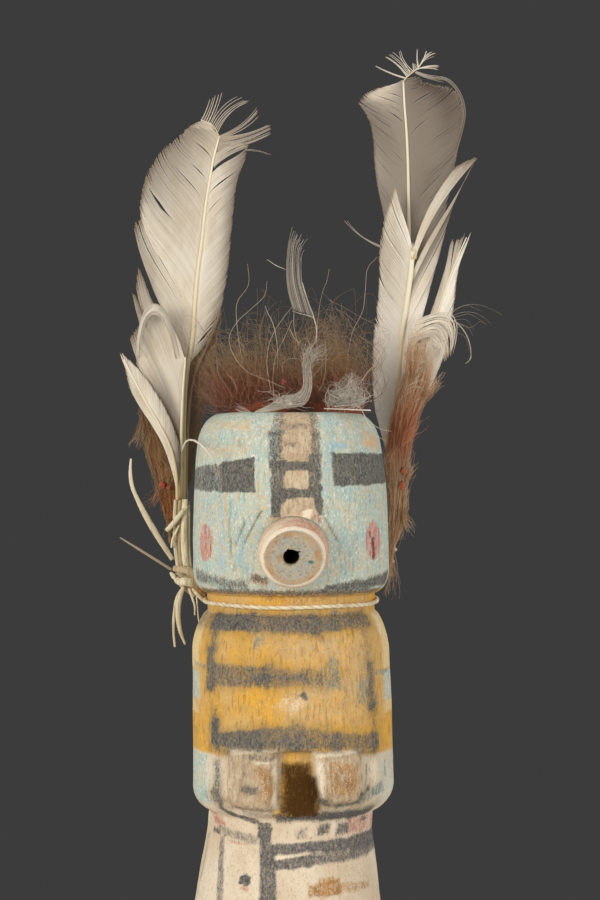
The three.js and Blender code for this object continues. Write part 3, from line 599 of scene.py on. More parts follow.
def brush_group():
    """A node group that lays one worn coat of paint over a colour. Load is how thickly the
    paint was laid, from 0 to 1, and Worn how strongly the fine upright grain breaks it: the
    mask is load + worn * grain, with a smooth step, and nothing where load is 0."""
    group = bpy.data.node_groups.new("worn_brush", "ShaderNodeTree")
    face = group.interface
    for name, kind in (("Under", "NodeSocketColor"), ("Paint", "NodeSocketColor"),
                       ("Load", "NodeSocketFloat"), ("Worn", "NodeSocketFloat")):
        face.new_socket(name, in_out="INPUT", socket_type=kind)
    face.new_socket("Colour", in_out="OUTPUT", socket_type="NodeSocketColor")
    face.new_socket("Mask", in_out="OUTPUT", socket_type="NodeSocketFloat")
    given = group.nodes.new("NodeGroupInput").outputs
    result = group.nodes.new("NodeGroupOutput").inputs
    streaks = noise(group, (1350, 1350, 430), 3.0, 0.68)
    specks = noise(group, (2300, 2300, 1700), 2.0, 0.65)
    grain = maths(group, "SUBTRACT", maths(group, "ADD", streaks, specks), 1.0)
    grain = maths(group, "MULTIPLY", maths(group, "MULTIPLY", grain, 1.9), given["Worn"])
    wet = maths(group, "MULTIPLY", given["Load"], 4.0, clamp=True)
    left = maths(group, "ADD", given["Load"], maths(group, "MULTIPLY", grain, wet))
    mask = spread(group, left, 0.08, 0.92)
    group.links.new(mask, result["Mask"])
    group.links.new(blend_colours(group, mask, given["Under"], given["Paint"]), result["Colour"])
    return group


worn_brush = brush_group()


def reading(tree, name):
    """The value that the mesh carries under that name."""
    return add_node(tree, "Attribute", attribute_name=name, attribute_type="GEOMETRY").outputs["Fac"]


def brushed(tree, under, paint, load, worn):
    """One worn coat: the paint's colour over what is under it, laid as thickly as load says."""
    return add_node(tree, "Group", {"Under": under, "Paint": paint, "Load": load, "Worn": worn},
                    node_tree=worn_brush).outputs["Colour"]


painted_wood, tree, output = new_material("painted_wood")
fine = noise(tree, (1750, 1750, 1050), 3.0, 0.68)
upright = noise(tree, (1150, 1150, 250), 3.0, 0.66)
broad = noise(tree, (85, 85, 60), 3.0, 0.5)
patchy = noise(tree, (330, 330, 210), 3.0, 0.6)
# a cream ground over the wood
wood = shaded(tree, upright, 0.3, 0.7, "d3ba97", "a98a63")
ground = shaded(tree, broad, 0.35, 0.65, "e2d2ba", "d2bea2")
surface = brushed(tree, wood, ground, 0.80, 0.7)
# yellow ochre, browner and thinner in places
ochre = shaded(tree, patchy, 0.36, 0.66, "dda63f", "c59a52")
ochre = shaded(tree, broad, 0.42, 0.62, ochre, "cda564")
ochre = shaded(tree, upright, 0.52, 0.7, ochre, "a87a3a", 0.75)
ochre = shaded(tree, fine, 0.44, 0.28, ochre, "e6c486", 0.8)
yellow = maths(tree, "MULTIPLY", reading(tree, "yellow"), 0.96)
surface = brushed(tree, surface, ochre, yellow, 0.35)
surface = brushed(tree, surface, "e2cb9a", reading(tree, "cream"), 0.5)
# the thin blue of the mask and the arms, flecked with tan and with brighter blue
sky = shaded(tree, patchy, 0.36, 0.64, "acbfb6", "c4c4ae")
sky = shaded(tree, upright, 0.5, 0.66, sky, "93a8a1", 0.85)
sky = shaded(tree, fine, 0.48, 0.32, sky, "dbe0d2")
surface = brushed(tree, surface, sky, maths(tree, "MULTIPLY", reading(tree, "blue"), 0.97), 0.3)
flecks = noise(tree, (1300, 1300, 700), 3.0, 0.66, 0.4)
bluest = maths(tree, "MULTIPLY", reading(tree, "sky"), spread(tree, flecks, 0.38, 0.6, 0.5, 1.0))
surface = brushed(tree, surface, "93b6c3", bluest, 0.5)
tan_share = maths(tree, "MULTIPLY", reading(tree, "blue"), spread(tree, flecks, 0.50, 0.64, 0.0, 0.8))
surface = blend_colours(tree, maths(tree, "MULTIPLY", tan_share, spread(tree, patchy, 0.38, 0.6, 0.3, 1.0)),
                        surface, "cfae86")
surface = brushed(tree, surface, "d9af7c", reading(tree, "tan"), 0.9)
# bare wood, then the smaller paints
beige = shaded(tree, upright, 0.36, 0.66, "cfbb9c", "aa9478")
beige = shaded(tree, patchy, 0.42, 0.64, beige, "bfa283", 0.6)
beige = shaded(tree, fine, 0.56, 0.7, beige, "82684b", 0.6)
surface = brushed(tree, surface, beige, reading(tree, "bare"), 0.4)
rust = shaded(tree, patchy, 0.38, 0.62, "ad7a40", "98703f")
# rust-brown paint, and across the neck's middle painted shade of the chin
surface = brushed(tree, surface, rust, reading(tree, "brown"), 0.7)
surface = brushed(tree, surface, "6f8783", reading(tree, "teal"), 0.8)
surface = brushed(tree, surface, "b4776a", reading(tree, "rose"), 0.9)
# pale chalk on chips and worn places, and painted highlight along the hands' tops and inner edges
surface = brushed(tree, surface, "ecdcc2", reading(tree, "chalk"), 0.5)
smoke = shaded(tree, fine, 0.38, 0.64, "555351", "77716b")
surface = brushed(tree, surface, smoke, reading(tree, "smoke"), 0.55)
charcoal = shaded(tree, fine, 0.38, 0.64, "4c4b47", "77736b")
charcoal = shaded(tree, patchy, 0.45, 0.7, charcoal, "736d63", 0.5)
stained = blend_colours(tree, reading(tree, "stain"), surface, "776543")
surface = blend_colours(tree, spread(tree, upright, 0.3, 0.7, 0.55, 1.0), surface, stained)
surface = brushed(tree, surface, charcoal, reading(tree, "charcoal"), 0.62)
surface = blend_colours(tree, reading(tree, "cuts"), surface, "4d4a41")
flesh = shaded(tree, upright, 0.42, 0.62, "cf9384", "b3796a")
surface = brushed(tree, surface, flesh, maths(tree, "MULTIPLY", reading(tree, "cheek"), 0.8), 1.0)
surface = brushed(tree, surface, "7c3f3e", reading(tree, "cheek_streak"), 0.8)
# painted shade deep in the hollow between the hands
surface = brushed(tree, surface, "452b07", reading(tree, "deep"), 0.25)
surface = brushed(tree, surface, "6e4532", maths(tree, "MULTIPLY", reading(tree, "feet"), 0.85), 0.7)
# the pale band round the hands: partly worn paint, partly painted highlight
surface = shaded(tree, reading(tree, "hand_edge"), 0.3, 1.0, surface, "ead9bb", 0.35)
# grime in the pits and on the grain
surface = shaded(tree, noise(tree, (1700, 1700, 800), 2.0, 0.75), 0.6, 0.74, surface, "6f5a44", 0.5)
height_mix = maths(tree, "ADD", maths(tree, "MULTIPLY", upright, 0.6), maths(tree, "MULTIPLY", fine, 0.5))
grain_bump = add_node(tree, "Bump", {"Height": height_mix, "Strength": 0.75, "Distance": 0.0005})
finish_material(tree, output, {"Base Color": surface, "Roughness": 0.93, "Specular IOR Level": 0.2,
    "Normal": grain_bump.outputs[0]})

painted_figure = new_mesh("painted_figure", figure_points,
                          [wrapped_faces(ROWS, COLUMNS), ring_caps(ROWS, COLUMNS)],
                          figure_values, painted_wood)
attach(painted_figure, "root")
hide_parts("figure")

# ---- the snout
# A short peg of wood, cut square at the front, drilled for the mouth and glued to the mask.
# Its face is bare and dusty, its rim keeps a ring of white and pink paint.

SNOUT_DROP = math.radians(10)
SNOUT_FACE_RADIUS = 9.0
SNOUT_CENTRE = np.array([0.8, -HEAD_WIDTH / 2 * DEPTH_PER_WIDTH, 174.8])
MOUTH_ASIDE = 0.6
snout_out = np.array([0, -math.cos(SNOUT_DROP), -math.sin(SNOUT_DROP)])
snout_up = np.array([0, -math.sin(SNOUT_DROP), math.cos(SNOUT_DROP)])

# The profile runs from the glue line, over the rim and the face, into the bottom of the mouth.
# Each row is the reach along the peg, the radius, and how much the knife marks show there.
snout_profile = np.array([
    [0, -4, 10.4, 0.4], [1, -1, 10.3, 0.6], [2, 1.5, 10.1, 1], [3, 3.6, 9.9, 1], [4, 5.4, 9.6, 1],
    [5, 6.8, 9.1, 1], [5.6, 7.5, 8.6, 0.9], [6, 7.75, 8.3, 0.8], [7, 7.8, 7.6, 0.8], [8.5, 7.75, 6, 0.8],
    [10, 7.65, 4, 0.8], [11, 7.5, 2.9, 1], [11.5, 7.1, 2.45, 1], [12.2, 6, 2.3, 0.8], [13.5, 3.6, 2.1, 0.5],
    [14.6, 2.1, 1.5, 0.3], [15, 1.9, 0.4, 0],
])
SNOUT_ROWS, SNOUT_COLUMNS = 190, 190
row_key = np.interp(np.linspace(0, 1, SNOUT_ROWS), [0, 0.25, 0.85, 1], [0, 5, 12, 15])
read = np.stack([np.interp(row_key, snout_profile[:, 0], snout_profile[:, column])
                 for column in (1, 2, 3)], axis=-1)
reach, radius, marks = (read[:, None, column] for column in range(3))
clock = np.linspace(0, 2 * math.pi, SNOUT_COLUMNS, endpoint=False)[None, :]
on_face = ramp(row_key, 5.8, 7.0)[:, None] * (1 - ramp(row_key, 11.0, 11.6)[:, None])
in_mouth = ramp(row_key, 10.8, 11.4)[:, None]
knots_round = np.stack(np.broadcast_arrays(
    np.cos(clock) * radius / 3.2, np.sin(clock) * radius / 3.2, reach / 3.2), axis=-1)
rim_cut = 0.16 * lumps(knots_round, 31) + 0.05 * lumps(knots_round * 3.4, 32)
# The mouth is not round: it has two small notches at its top, and its edge is torn.
notches = 0.6 * np.exp(-((clock - 1.95) / 0.12) ** 2) + 1.1 * np.exp(-((clock - 0.62) / 0.11) ** 2)
torn = 0.16 * lumps(np.stack(np.broadcast_arrays(np.cos(clock) * 3, np.sin(clock) * 3, 0 * reach),
                             axis=-1), 33)
radius = radius + marks * rim_cut * (1 - in_mouth) + in_mouth * (torn + notches * 0.7)
pitted = 0.10 * lumps(knots_round * [3.0, 3.0, 1], 34) + 0.07 * lumps(knots_round * [7.5, 7.5, 1], 35)
reach = reach + on_face * (pitted + 0.10 * lumps(knots_round * 1.2, 36))
# A groove goes round just behind the rim, where the peg was scored.
rim_line = row_key[:, None] + 0.25 * np.sin(clock * 2 + 1)
radius = radius - 0.22 * np.exp(-((rim_line - 3.6) / 0.22) ** 2)
aside, upward = radius * np.cos(clock) - MOUTH_ASIDE * in_mouth, radius * 0.98 * np.sin(clock)
snout_points = (SNOUT_CENTRE + aside[..., None] * np.array([1.0, 0, 0])
                + upward[..., None] * snout_up + reach[..., None] * snout_out)
snout_points = np.concatenate([
    snout_points.reshape(-1, 3),
    [SNOUT_CENTRE + snout_profile[0, 1] * snout_out,
     SNOUT_CENTRE + snout_profile[-1, 1] * snout_out - [MOUTH_ASIDE, 0, 0]]])


def over_snout(value):
    """A value on the snout's grid, with its own value at each of the two poles."""
    value = np.broadcast_to(value, (SNOUT_ROWS, SNOUT_COLUMNS))
    return np.concatenate([value.ravel(), value[0, :1], value[-1, :1]])


snout_values = {
    "rim": over_snout(np.minimum(row_key[:, None] - 1.2, 6.1 - row_key[:, None]) + 0.3 * pitted * 10),
    "white_line": over_snout(0.62 - np.abs(rim_line - 5.35)),
    "face_out": over_snout(np.hypot(aside, upward) / SNOUT_FACE_RADIUS * on_face),
    # painted shade at the bottom of the mouth
    "deep": over_snout(ramp(row_key, 11.6, 12.6)[:, None]),
    "green_spot": over_snout(0.8 - np.hypot(aside - 5.0, (upward + 1.2) * 1.6)),
    "pink_side": over_snout(np.cos(clock - 0.30) * 2.2 - 0.8),
    "tan_patch": over_snout(np.maximum.reduce([
        1.5 - np.hypot(aside + 1.2, (upward - 6.6) * 1.6), 1.2 - np.hypot(aside + 3.6, upward + 0.2),
        1.6 - np.hypot((aside - 7.0) * 1.6, upward - 1.0), 1.4 - np.hypot(aside - 5.4, upward + 6.4),
        1.2 - np.hypot(aside + 6.8, upward + 4.2), 1.0 - np.hypot((aside + 5.0) * 1.2, upward - 4.6)])),
}

snout_wood, tree, output = new_material("snout_wood")
fine = noise(tree, (1500, 1500, 1500), 3.0, 0.7)
cloudy = noise(tree, (260, 260, 260), 3.0, 0.6)
dusty = shaded(tree, cloudy, 0.38, 0.62, "b3a58c", "a2a094")
dusty = shaded(tree, fine, 0.5, 0.68, dusty, "837053", 0.85)
surface = brushed(tree, dusty, "a17f52",
                  spread(tree, reading(tree, "tan_patch"), -0.8, 0.8, 0.0, 0.62), 0.8)
edge_tan = spread(tree, reading(tree, "face_out"), 0.62, 0.9, 0.0, 0.75)
surface = blend_colours(tree, edge_tan, surface, "b48a5c")
surface = brushed(tree, surface, "3f6f5f",
                  spread(tree, reading(tree, "green_spot"), -0.4, 0.4, 0.0, 0.85), 0.5)
flesh = shaded(tree, cloudy, 0.4, 0.6, "e0cdb2", "d8b196")
surface = brushed(tree, surface, flesh, spread(tree, reading(tree, "rim"), -0.3, 0.3), 0.3)
pink = maths(tree, "MINIMUM", reading(tree, "rim"), reading(tree, "pink_side"))
surface = brushed(tree, surface, "c58a72", spread(tree, pink, -0.5, 0.5, 0.0, 0.5), 1.0)
surface = brushed(tree, surface, "e9d8c0",
                  spread(tree, reading(tree, "white_line"), -0.25, 0.25, 0.0, 0.9), 0.4)
# painted shade: the bottom of the drilled mouth goes almost black
surface = blend_colours(tree, reading(tree, "deep"), surface, "120c08")
snout_bump = add_node(tree, "Bump", {"Height": fine, "Strength": 0.55, "Distance": 0.0004})
finish_material(tree, output, {"Base Color": surface, "Roughness": 0.95, "Specular IOR Level": 0.2,
    "Normal": snout_bump.outputs[0]})

drilled_snout = new_mesh("drilled_snout", snout_points, [
    wrapped_faces(SNOUT_ROWS, SNOUT_COLUMNS)[:, ::-1],
    ring_caps(SNOUT_ROWS, SNOUT_COLUMNS)[:, ::-1]], snout_values, snout_wood)
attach(drilled_snout, "root")
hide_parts("snout")

# ---- the neck string
# A cotton string of two plies twisted together. It is tied round the neck, lies close to
# the wood and sags a little in front.

STRING_RADIUS, STRING_HEIGHT, GAP = 0.65, 159.2, 0.3
STRING_TURNS, STRING_ROWS, STRING_SIDES = 62, 720, 14


def twine_ring():
    """Rings of the twine round the neck: the neck's section grown by the gap and the twine's
    radius, and round each ring a radius that swells over two plies and twists along the way."""
    way = np.linspace(0, 2 * math.pi, STRING_ROWS, endpoint=False)[:, None]
    about = np.linspace(0, 2 * math.pi, STRING_SIDES, endpoint=False)[None, :]
    ply = np.abs(np.cos(about + way * STRING_TURNS / 2))
    uneven = 1 + 0.05 * np.sin(way * 23) + 0.04 * np.sin(way * 57)
    thick = STRING_RADIUS * (0.74 + 0.26 * ply ** 0.8) * uneven
    out, up = thick * np.cos(about), thick * np.sin(about)
    neck = NECK_WIDTH / 2 + GAP + STRING_RADIUS
    x = along(SWAY, STRING_HEIGHT) + (neck + out) * squared(np.cos(way))
    y = (neck * DEPTH_PER_WIDTH + out) * squared(np.sin(way))
    z = STRING_HEIGHT + up + 0.6 * np.sin(way) + 0.12 * np.sin(way * 5 + 1)
    return np.stack([x, y, z], axis=-1), ply + 0 * way


twine_points, twine_ply = twine_ring()
row, column = np.meshgrid(np.arange(STRING_ROWS), np.arange(STRING_SIDES), indexing="ij")
row_after, column_after = (row + 1) % STRING_ROWS, (column + 1) % STRING_SIDES
twine_faces = np.stack([row * STRING_SIDES + column, row_after * STRING_SIDES + column,
                        row_after * STRING_SIDES + column_after, row * STRING_SIDES + column_after],
                       axis=-1).reshape(-1, 4)

cotton, tree, output = new_material("cotton_string")
in_groove_shade = spread(tree, reading(tree, "ply"), 0.0, 0.55, 0.75, 0.0)
twine_tint = shaded(tree, noise(tree, (420, 420, 420), 2.0), 0.4, 0.62, "e6d6b4", "d3bf97")
twine_tint = blend_colours(tree, in_groove_shade, twine_tint, "9c8456")
fibre = add_node(tree, "Bump", {"Height": noise(tree, (5200, 5200, 5200), 2.0), "Strength": 0.5,
                                "Distance": 0.0002})
finish_material(tree, output, {"Base Color": twine_tint, "Roughness": 0.9, "Sheen Weight": 0.2,
    "Normal": fibre.outputs[0]})
twine = new_mesh("twisted_twine", twine_points.reshape(-1, 3), [twine_faces],
                 {"ply": twine_ply}, cotton)
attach(twine, "root")
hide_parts("neck_string")

# ---- the feathers
# White wing feathers of a bird, old and split, with some of their barbs broken or curled over.
# Four stand in the left bundle and three in the right one, and they are tied on by their quills.


def smooth_line(knots, where):
    """Values at "where" on the smooth line through knots, which are rows of a key and values:
    cubic pieces between them that keep the mean slope at each knot."""
    knots = np.array(knots, float)
    keys, values = knots[:, 0], knots[:, 1:]
    slopes = np.gradient(values, keys, axis=0)
    where = np.clip(where, keys[0], keys[-1])
    i = np.clip(np.searchsorted(keys, where, side="right") - 1, 0, len(keys) - 2)
    step = (keys[i + 1] - keys[i])[..., None]
    t = (where - keys[i])[..., None] / step
    return ((2 * t ** 3 - 3 * t ** 2 + 1) * values[i] + (t ** 3 - 2 * t ** 2 + t) * step * slopes[i]
            + (3 * t ** 2 - 2 * t ** 3) * values[i + 1] + (t ** 3 - t ** 2) * step * slopes[i + 1])


def unit(vectors):
    """The same directions with length one."""
    return vectors / (np.linalg.norm(vectors, axis=-1, keepdims=True) + 1e-9)


def tubes(paths, wide, thick=None, sides=3, facing=(0.12, -1.0, 0.16), **values):
    """Closed tubes, one along each row of points in paths. Each ring is an ellipse, "wide"
    across the facing direction and "thick" along it. Every point keeps how far along its tube
    it is, from 0 to 1, and the values given for all tubes, for each tube or for each ring."""
    count, rings = paths.shape[:2]
    run = unit(np.gradient(paths, axis=1))
    across = unit(np.cross(run, facing))
    out = np.cross(run, across)
    about = 2 * math.pi * np.arange(sides) / sides
    wide = np.broadcast_to(wide, (count, rings))[..., None, None]
    thick = wide if thick is None else np.broadcast_to(thick, (count, rings))[..., None, None]
    ring = (paths[:, :, None] + wide * np.cos(about)[:, None] * across[:, :, None]
            + thick * np.sin(about)[:, None] * out[:, :, None])
    start = (np.arange(count) * rings * sides)[:, None, None]
    quads = (wrapped_faces(rings, sides)[None] + start).reshape(-1, 4)
    caps = np.stack([np.arange(sides)[::-1], (rings - 1) * sides + np.arange(sides)])
    caps = (caps[None] + start).reshape(-1, sides)
    values["along"] = np.linspace(0, 1, rings)[None, :]
    spread_out = {}
    for key, value in values.items():
        value = np.asarray(value, float)
        value = value[:, None] if value.ndim == 1 else value
        spread_out[key] = np.repeat(np.broadcast_to(value, (count, rings)).ravel(), sides)
    return ring.reshape(-1, 3), [quads, caps], spread_out


def joined(parts):
    """Several groups of points, faces and values as one. A value that a group lacks is 0."""
    keys = sorted({key for part in parts for key in part[2]})
    starts = np.cumsum([0] + [len(part[0]) for part in parts])
    points = np.concatenate([part[0] for part in parts])
    faces = [group + start for part, start in zip(parts, starts) for group in part[1]]
    values = {key: np.concatenate([part[2].get(key, np.zeros(len(part[0]))) for part in parts])
              for key in keys}
    return points, faces, values


BARB_THICKNESS, BARB_RINGS, SHAFT_RINGS = 0.055, 11, 60


def vane(shaft, rows, steep, cup, seed, shade, curl=0.0, spacing=0.42, splits=(), holes=(), ragged=0.35,
         lift=0.0):
    """One side of a feather, as barbs that lie edge to edge. Barbs leave the shaft at even
    steps of height and end on the edge, which rows give as root height, x and z. A barb is the
    cubic curve that leaves steeply and arrives with "curl" towards the tip. It swings back by
    cup times the square of the way. Splits push the tips apart: root height, gap and reach.
    Holes part the barbs on their way and leave the tips: root height, gap, reach, and where
    along the barb the hole is widest and how long it is."""
    random = np.random.default_rng(seed)
    rows = np.array(rows, float)
    count = int(abs(rows[-1, 0] - rows[0, 0]) / spacing) + 2
    root_z = np.linspace(rows[0, 0], rows[-1, 0], count)
    breaks = [(at, gap, reach) for at, gap, reach in splits]
    place = rows[0, 0] + random.uniform(1, 5)
    while place < rows[-1, 0] - 2:
        breaks.append((place, random.uniform(0.03, 0.2), random.uniform(0.8, 2.2)))
        place += random.uniform(2.0, 6.5)
    shift = sum(gap * np.sign(root_z - at) * np.exp(-np.abs(root_z - at) / reach)
                for at, gap, reach in breaks)
    edge = smooth_line(rows, root_z + shift)
    root_xy = smooth_line(shaft, root_z)
    root = np.stack([root_xy[:, 0], root_xy[:, 1], root_z], axis=-1)
    tip = np.stack([edge[:, 0], root[:, 1], edge[:, 1]], axis=-1)
    reach = tip - root
    length = np.linalg.norm(reach, axis=-1, keepdims=True)
    tip = tip - unit(reach) * random.exponential(ragged, (count, 1))
    step_xy = smooth_line(shaft, root_z + 0.5) - smooth_line(shaft, root_z - 0.5)
    upward = unit(np.stack([step_xy[:, 0], step_xy[:, 1], np.ones(count)], axis=-1))
    lead = root + 0.36 * length * unit(unit(reach) + steep * upward)
    trail = tip - 0.36 * length * unit(unit(reach) + curl * upward)
    t = np.linspace(0, 1, BARB_RINGS)[None, :, None]
    path = ((1 - t) ** 3 * root[:, None] + 3 * t * (1 - t) ** 2 * lead[:, None]
            + 3 * t ** 2 * (1 - t) * trail[:, None] + t ** 3 * tip[:, None])
    for at, gap, near, middle, long in holes:
        apart = gap * np.sign(root_z - at) * np.exp(-np.abs(root_z - at) / near)
        path[..., 2] += apart[:, None] * np.exp(-((t[..., 0] - middle) / long) ** 2)
    share = length[:, :, None] / length.max()
    clump = np.interp(root_z, [b[0] for b in sorted(breaks)],
                      random.uniform(-0.25, 0.25, len(breaks))) if breaks else 0 * root_z
    path[..., 1] += (cup * share * t ** 2)[..., 0] + (clump[:, None] * t[0, :, 0] ** 1.5) \
        + random.normal(0, 0.035, (count, 1)) * t[0, :, 0] + lift
    step = np.linalg.norm(np.cross(np.gradient(path, axis=0), unit(np.gradient(path, axis=1))), axis=-1)
    taper = 1 - 0.55 * ramp(t[0, :, 0], 0.86, 1.0)
    wide = np.clip(0.60 * step, 0.05, 0.27) * taper
    shade_here = smooth_line(shade, (root_z - rows[0, 0]) / (rows[-1, 0] - rows[0, 0]))
    shading = shade_here[:, :1] + (shade_here[:, 1:] - shade_here[:, :1]) * t[0, :, 0] ** 1.6
    return tubes(path, wide, np.minimum(BARB_THICKNESS, wide * 0.6), sides=4,
                 tone=random.normal(0, 1, count), shade=shading)


def shaft_tube(shaft, thick, thin):
    """The feather's shaft: a tapering tube of eight sides along the shaft's line."""
    z = np.linspace(shaft[0][0], shaft[-1][0], SHAFT_RINGS)
    line = smooth_line(shaft, z)
    path = np.stack([line[:, 0], line[:, 1] - 0.1, z], axis=-1)[None]
    radius = np.linspace(thick, thin, SHAFT_RINGS)[None]
    return tubes(path, radius, radius * 0.8, sides=8, kind=1)


def fan(root_a, root_b, tip_a, tip_b, count, bow, thick, seed, spare, kind=0, rings=12, wave=0.0, **values):
    """Loose strands, from roots spaced between two points to tips spaced between two points.
    Each is a straight run with its middle pushed aside by bow, and waves that grow with it."""
    random = np.random.default_rng(seed)
    share = np.linspace(0, 1, count)[:, None]
    root_a, root_b, tip_a, tip_b = (np.array(p, float) for p in (root_a, root_b, tip_a, tip_b))
    root = root_a + (root_b - root_a) * share
    tip = tip_a + (tip_b - tip_a) * share + random.normal(0, spare, (count, 3))
    t = np.linspace(0, 1, rings)[None, :, None]
    run = tip - root
    aside = np.stack([-run[:, 2], 0 * run[:, 1], run[:, 0]], axis=-1)
    path = root[:, None] + run[:, None] * t + bow * aside[:, None] * 4 * t * (1 - t)
    swing = random.normal(0, 1, (count, 1, 3)) * np.sin(
        t * random.uniform(3, 8, (count, 1, 1)) + random.uniform(0, 6, (count, 1, 1)))
    path = path + wave * swing * t
    wide = thick * (1 - 0.6 * t[..., 0]) * random.uniform(0.7, 1.2, (count, 1))
    return tubes(path, wide, sides=4, tone=random.normal(0, 1, count), kind=kind, **values)


def rolled_rim(knots, centre, depth, count, seed, shade):
    """Strands side by side along an arch through knots, each a little nearer to the centre than
    the last, by up to the share depth: where the tips of a vane curl over. Shades lie between
    the two in shade."""
    random = np.random.default_rng(seed)
    knots, centre = np.array(knots, float), np.array(centre)
    arch = smooth_line(np.column_stack([np.arange(len(knots)), knots]), np.linspace(0, len(knots) - 1, 26))
    inward = np.linspace(0, depth, count)[:, None, None] + random.normal(0, 0.006, (count, 1, 1))
    paths = arch + (centre - arch) * inward - np.array([0, 2.2, 0]) * np.sin(inward / depth * 2.4)
    paths = paths + random.normal(0, 0.10, (count, 1, 3))
    wide = 0.22 * random.uniform(0.7, 1.2, (count, 1)) * np.sin(np.linspace(0.3, 3.08, 26))[None]
    return tubes(paths, wide, wide * 0.5, sides=4, tone=random.normal(0, 1, count),
                 shade=random.uniform(*shade, count))


# The left bundle.
left_tall_shaft = [
    [186, -32.9, 4.7], [200, -32.6, 4.8], [213, -32.5, 5], [228, -31.5, 5.4], [238, -29.8, 5.8],
    [247, -29.2, 6.2], [257, -28.4, 6.6], [269, -26.9, 7.2], [278, -26, 8], [286, -24.8, 8.8],
    [293, -23.6, 9.6], [299.8, -21.9, 10.2],
]
left_tall = joined([
    vane(left_tall_shaft, [[229, -43.8, 259], [232, -46.8, 267], [236, -47.6, 272.8], [239, -45.8, 274.1],
            [241.4, -44.6, 274.2], [244, -45.5, 273.6], [250, -46.1, 278], [255, -45.6, 282],
            [260, -44.7, 286], [266, -43, 290], [272, -40.7, 293.7], [279, -38.2, 296.5],
            [285, -35.8, 298.5], [290, -33.2, 300.8], [295, -30.4, 303.2], [299.6, -28.3, 304.4]],
        steep=0.75, curl=0.55, cup=2.4, seed=41,
        splits=[(242.6, 0.7, 1), (237.6, 0.4, 0.8), (271.5, 0.3, 2.5), (284.8, 0.35, 1.4), (247, 0.2, 3)],
        holes=[(261, 1.15, 1.3, 0.72, 0.13), (292, 0.5, 0.8, 0.36, 0.2), (284.4, 0.45, 0.8, 0.3, 0.18),
            (277.5, 0.4, 0.9, 0.42, 0.24), (240.6, 0.5, 0.8, 0.7, 0.3)],
        shade=[[0, 0.1, 0.5], [0.12, 0.1, 0.7], [0.2, 0, 0.2], [0.45, 0.1, 0.75], [0.8, 0.3, 0.85],
            [1, 0.3, 0.9]]),
    vane(left_tall_shaft, [[229, -24.9, 238], [233, -22, 245], [240, -19.9, 254], [248, -18.9, 262],
            [256, -18.1, 270.5], [264, -17.4, 278.5], [271, -16.6, 285], [277, -15.3, 289.5],
            [283, -13.9, 293], [287.5, -13.4, 296.4]],
        steep=0.7, curl=0.4, cup=3.2, seed=42, splits=[(281, 0.4, 1.8), (268, 0.3, 2.4), (233, 0.7, 1.4)],
        holes=[(232.6, 0.9, 1, 0.6, 0.3), (281, 0.5, 0.9, 0.4, 0.3), (274, 0.35, 0.8, 0.3, 0.2)],
        shade=[[0, 0.3, 0.9], [0.2, -0.2, 0.7], [0.6, -0.3, 0.85], [1, 0.1, 1]]),
    # broken tip: the shaft bends over to the left, and its bare barbs stand up in clumps
    tubes(np.array([[[-21.9, 10, 299.6], [-22.9, 10.2, 301.6], [-24.4, 10.4, 303.5], [-26.2, 10.5, 304.3],
                    [-27.6, 10.6, 304.7]]]),
        0.17, sides=6, kind=1),
    vane([[290, -23.2, 10.2], [300, -22.6, 10.3], [303.6, -24.6, 10.4]],
        [[290, -33.6, 300.4], [296, -31.6, 302.6], [303.6, -27.6, 304.6]], seed=43, steep=0.3,
        shade=[[0, 0.2, 0.5], [1, 0.2, 0.5]], cup=0.6),
    fan((-27.4, 10.6, 304.6), (-24.6, 10.4, 303.8), (-25.2, 10.2, 311), (-20.9, 10.6, 313), count=5,
        bow=-0.03, seed=44, thick=0.18, spare=0.3, shade=0.4),
    fan((-24.3, 10.4, 303.4), (-22.4, 10.2, 301), (-16.2, 9.6, 311.6), (-12.2, 10, 310.2), count=6, bow=0.1,
        seed=45, thick=0.2, spare=0.5, shade=0.6),
    fan((-21.9, 10.2, 299.8), (-21.7, 10.1, 299.2), (-10.4, 9.8, 308.4), (-10.6, 10, 306), count=6,
        bow=-0.08, seed=46, thick=0.24, spare=0.3, shade=0.7),
    fan((-21.7, 10.2, 299.4), (-22.6, 10, 295.4), (-6.4, 9.6, 303.4), (-6.6, 10.4, 300.2), count=13,
        bow=-0.05, seed=47, thick=0.3, spare=0.35, shade=0.7),
    fan((-22.9, 9.6, 294.2), (-23.6, 9.2, 290.4), (-14.6, 9.8, 298.6), (-13.6, 10.2, 296.4), count=16,
        bow=0.06, seed=48, thick=0.28, spare=0.3, shade=0.5),
    fan((-14, 9.4, 295.6), (-13.8, 9.4, 295.2), (-5.9, 9.6, 293.8), (-6.6, 9.6, 294), count=2, bow=0.06,
        seed=49, thick=0.06, spare=0.2),
    # one curled strand that reaches forward over the corner of the mask
    tubes(np.array([[[-33, 2, 203.4], [-32.2, -2, 205], [-31.2, -8, 206.4], [-29.8, -14, 207],
                    [-28, -19.5, 206.8], [-26.2, -24, 205.8], [-24.4, -26.6, 204.2], [-22.8, -27.6, 202],
                    [-21.6, -27.9, 198.8]]]),
        np.array([[0.2, 0.3, 0.36, 0.36, 0.34, 0.3, 0.24, 0.18, 0.08]]), 0.14, sides=8, shade=0.2),
    shaft_tube(left_tall_shaft, 0.95, 0.28),
])

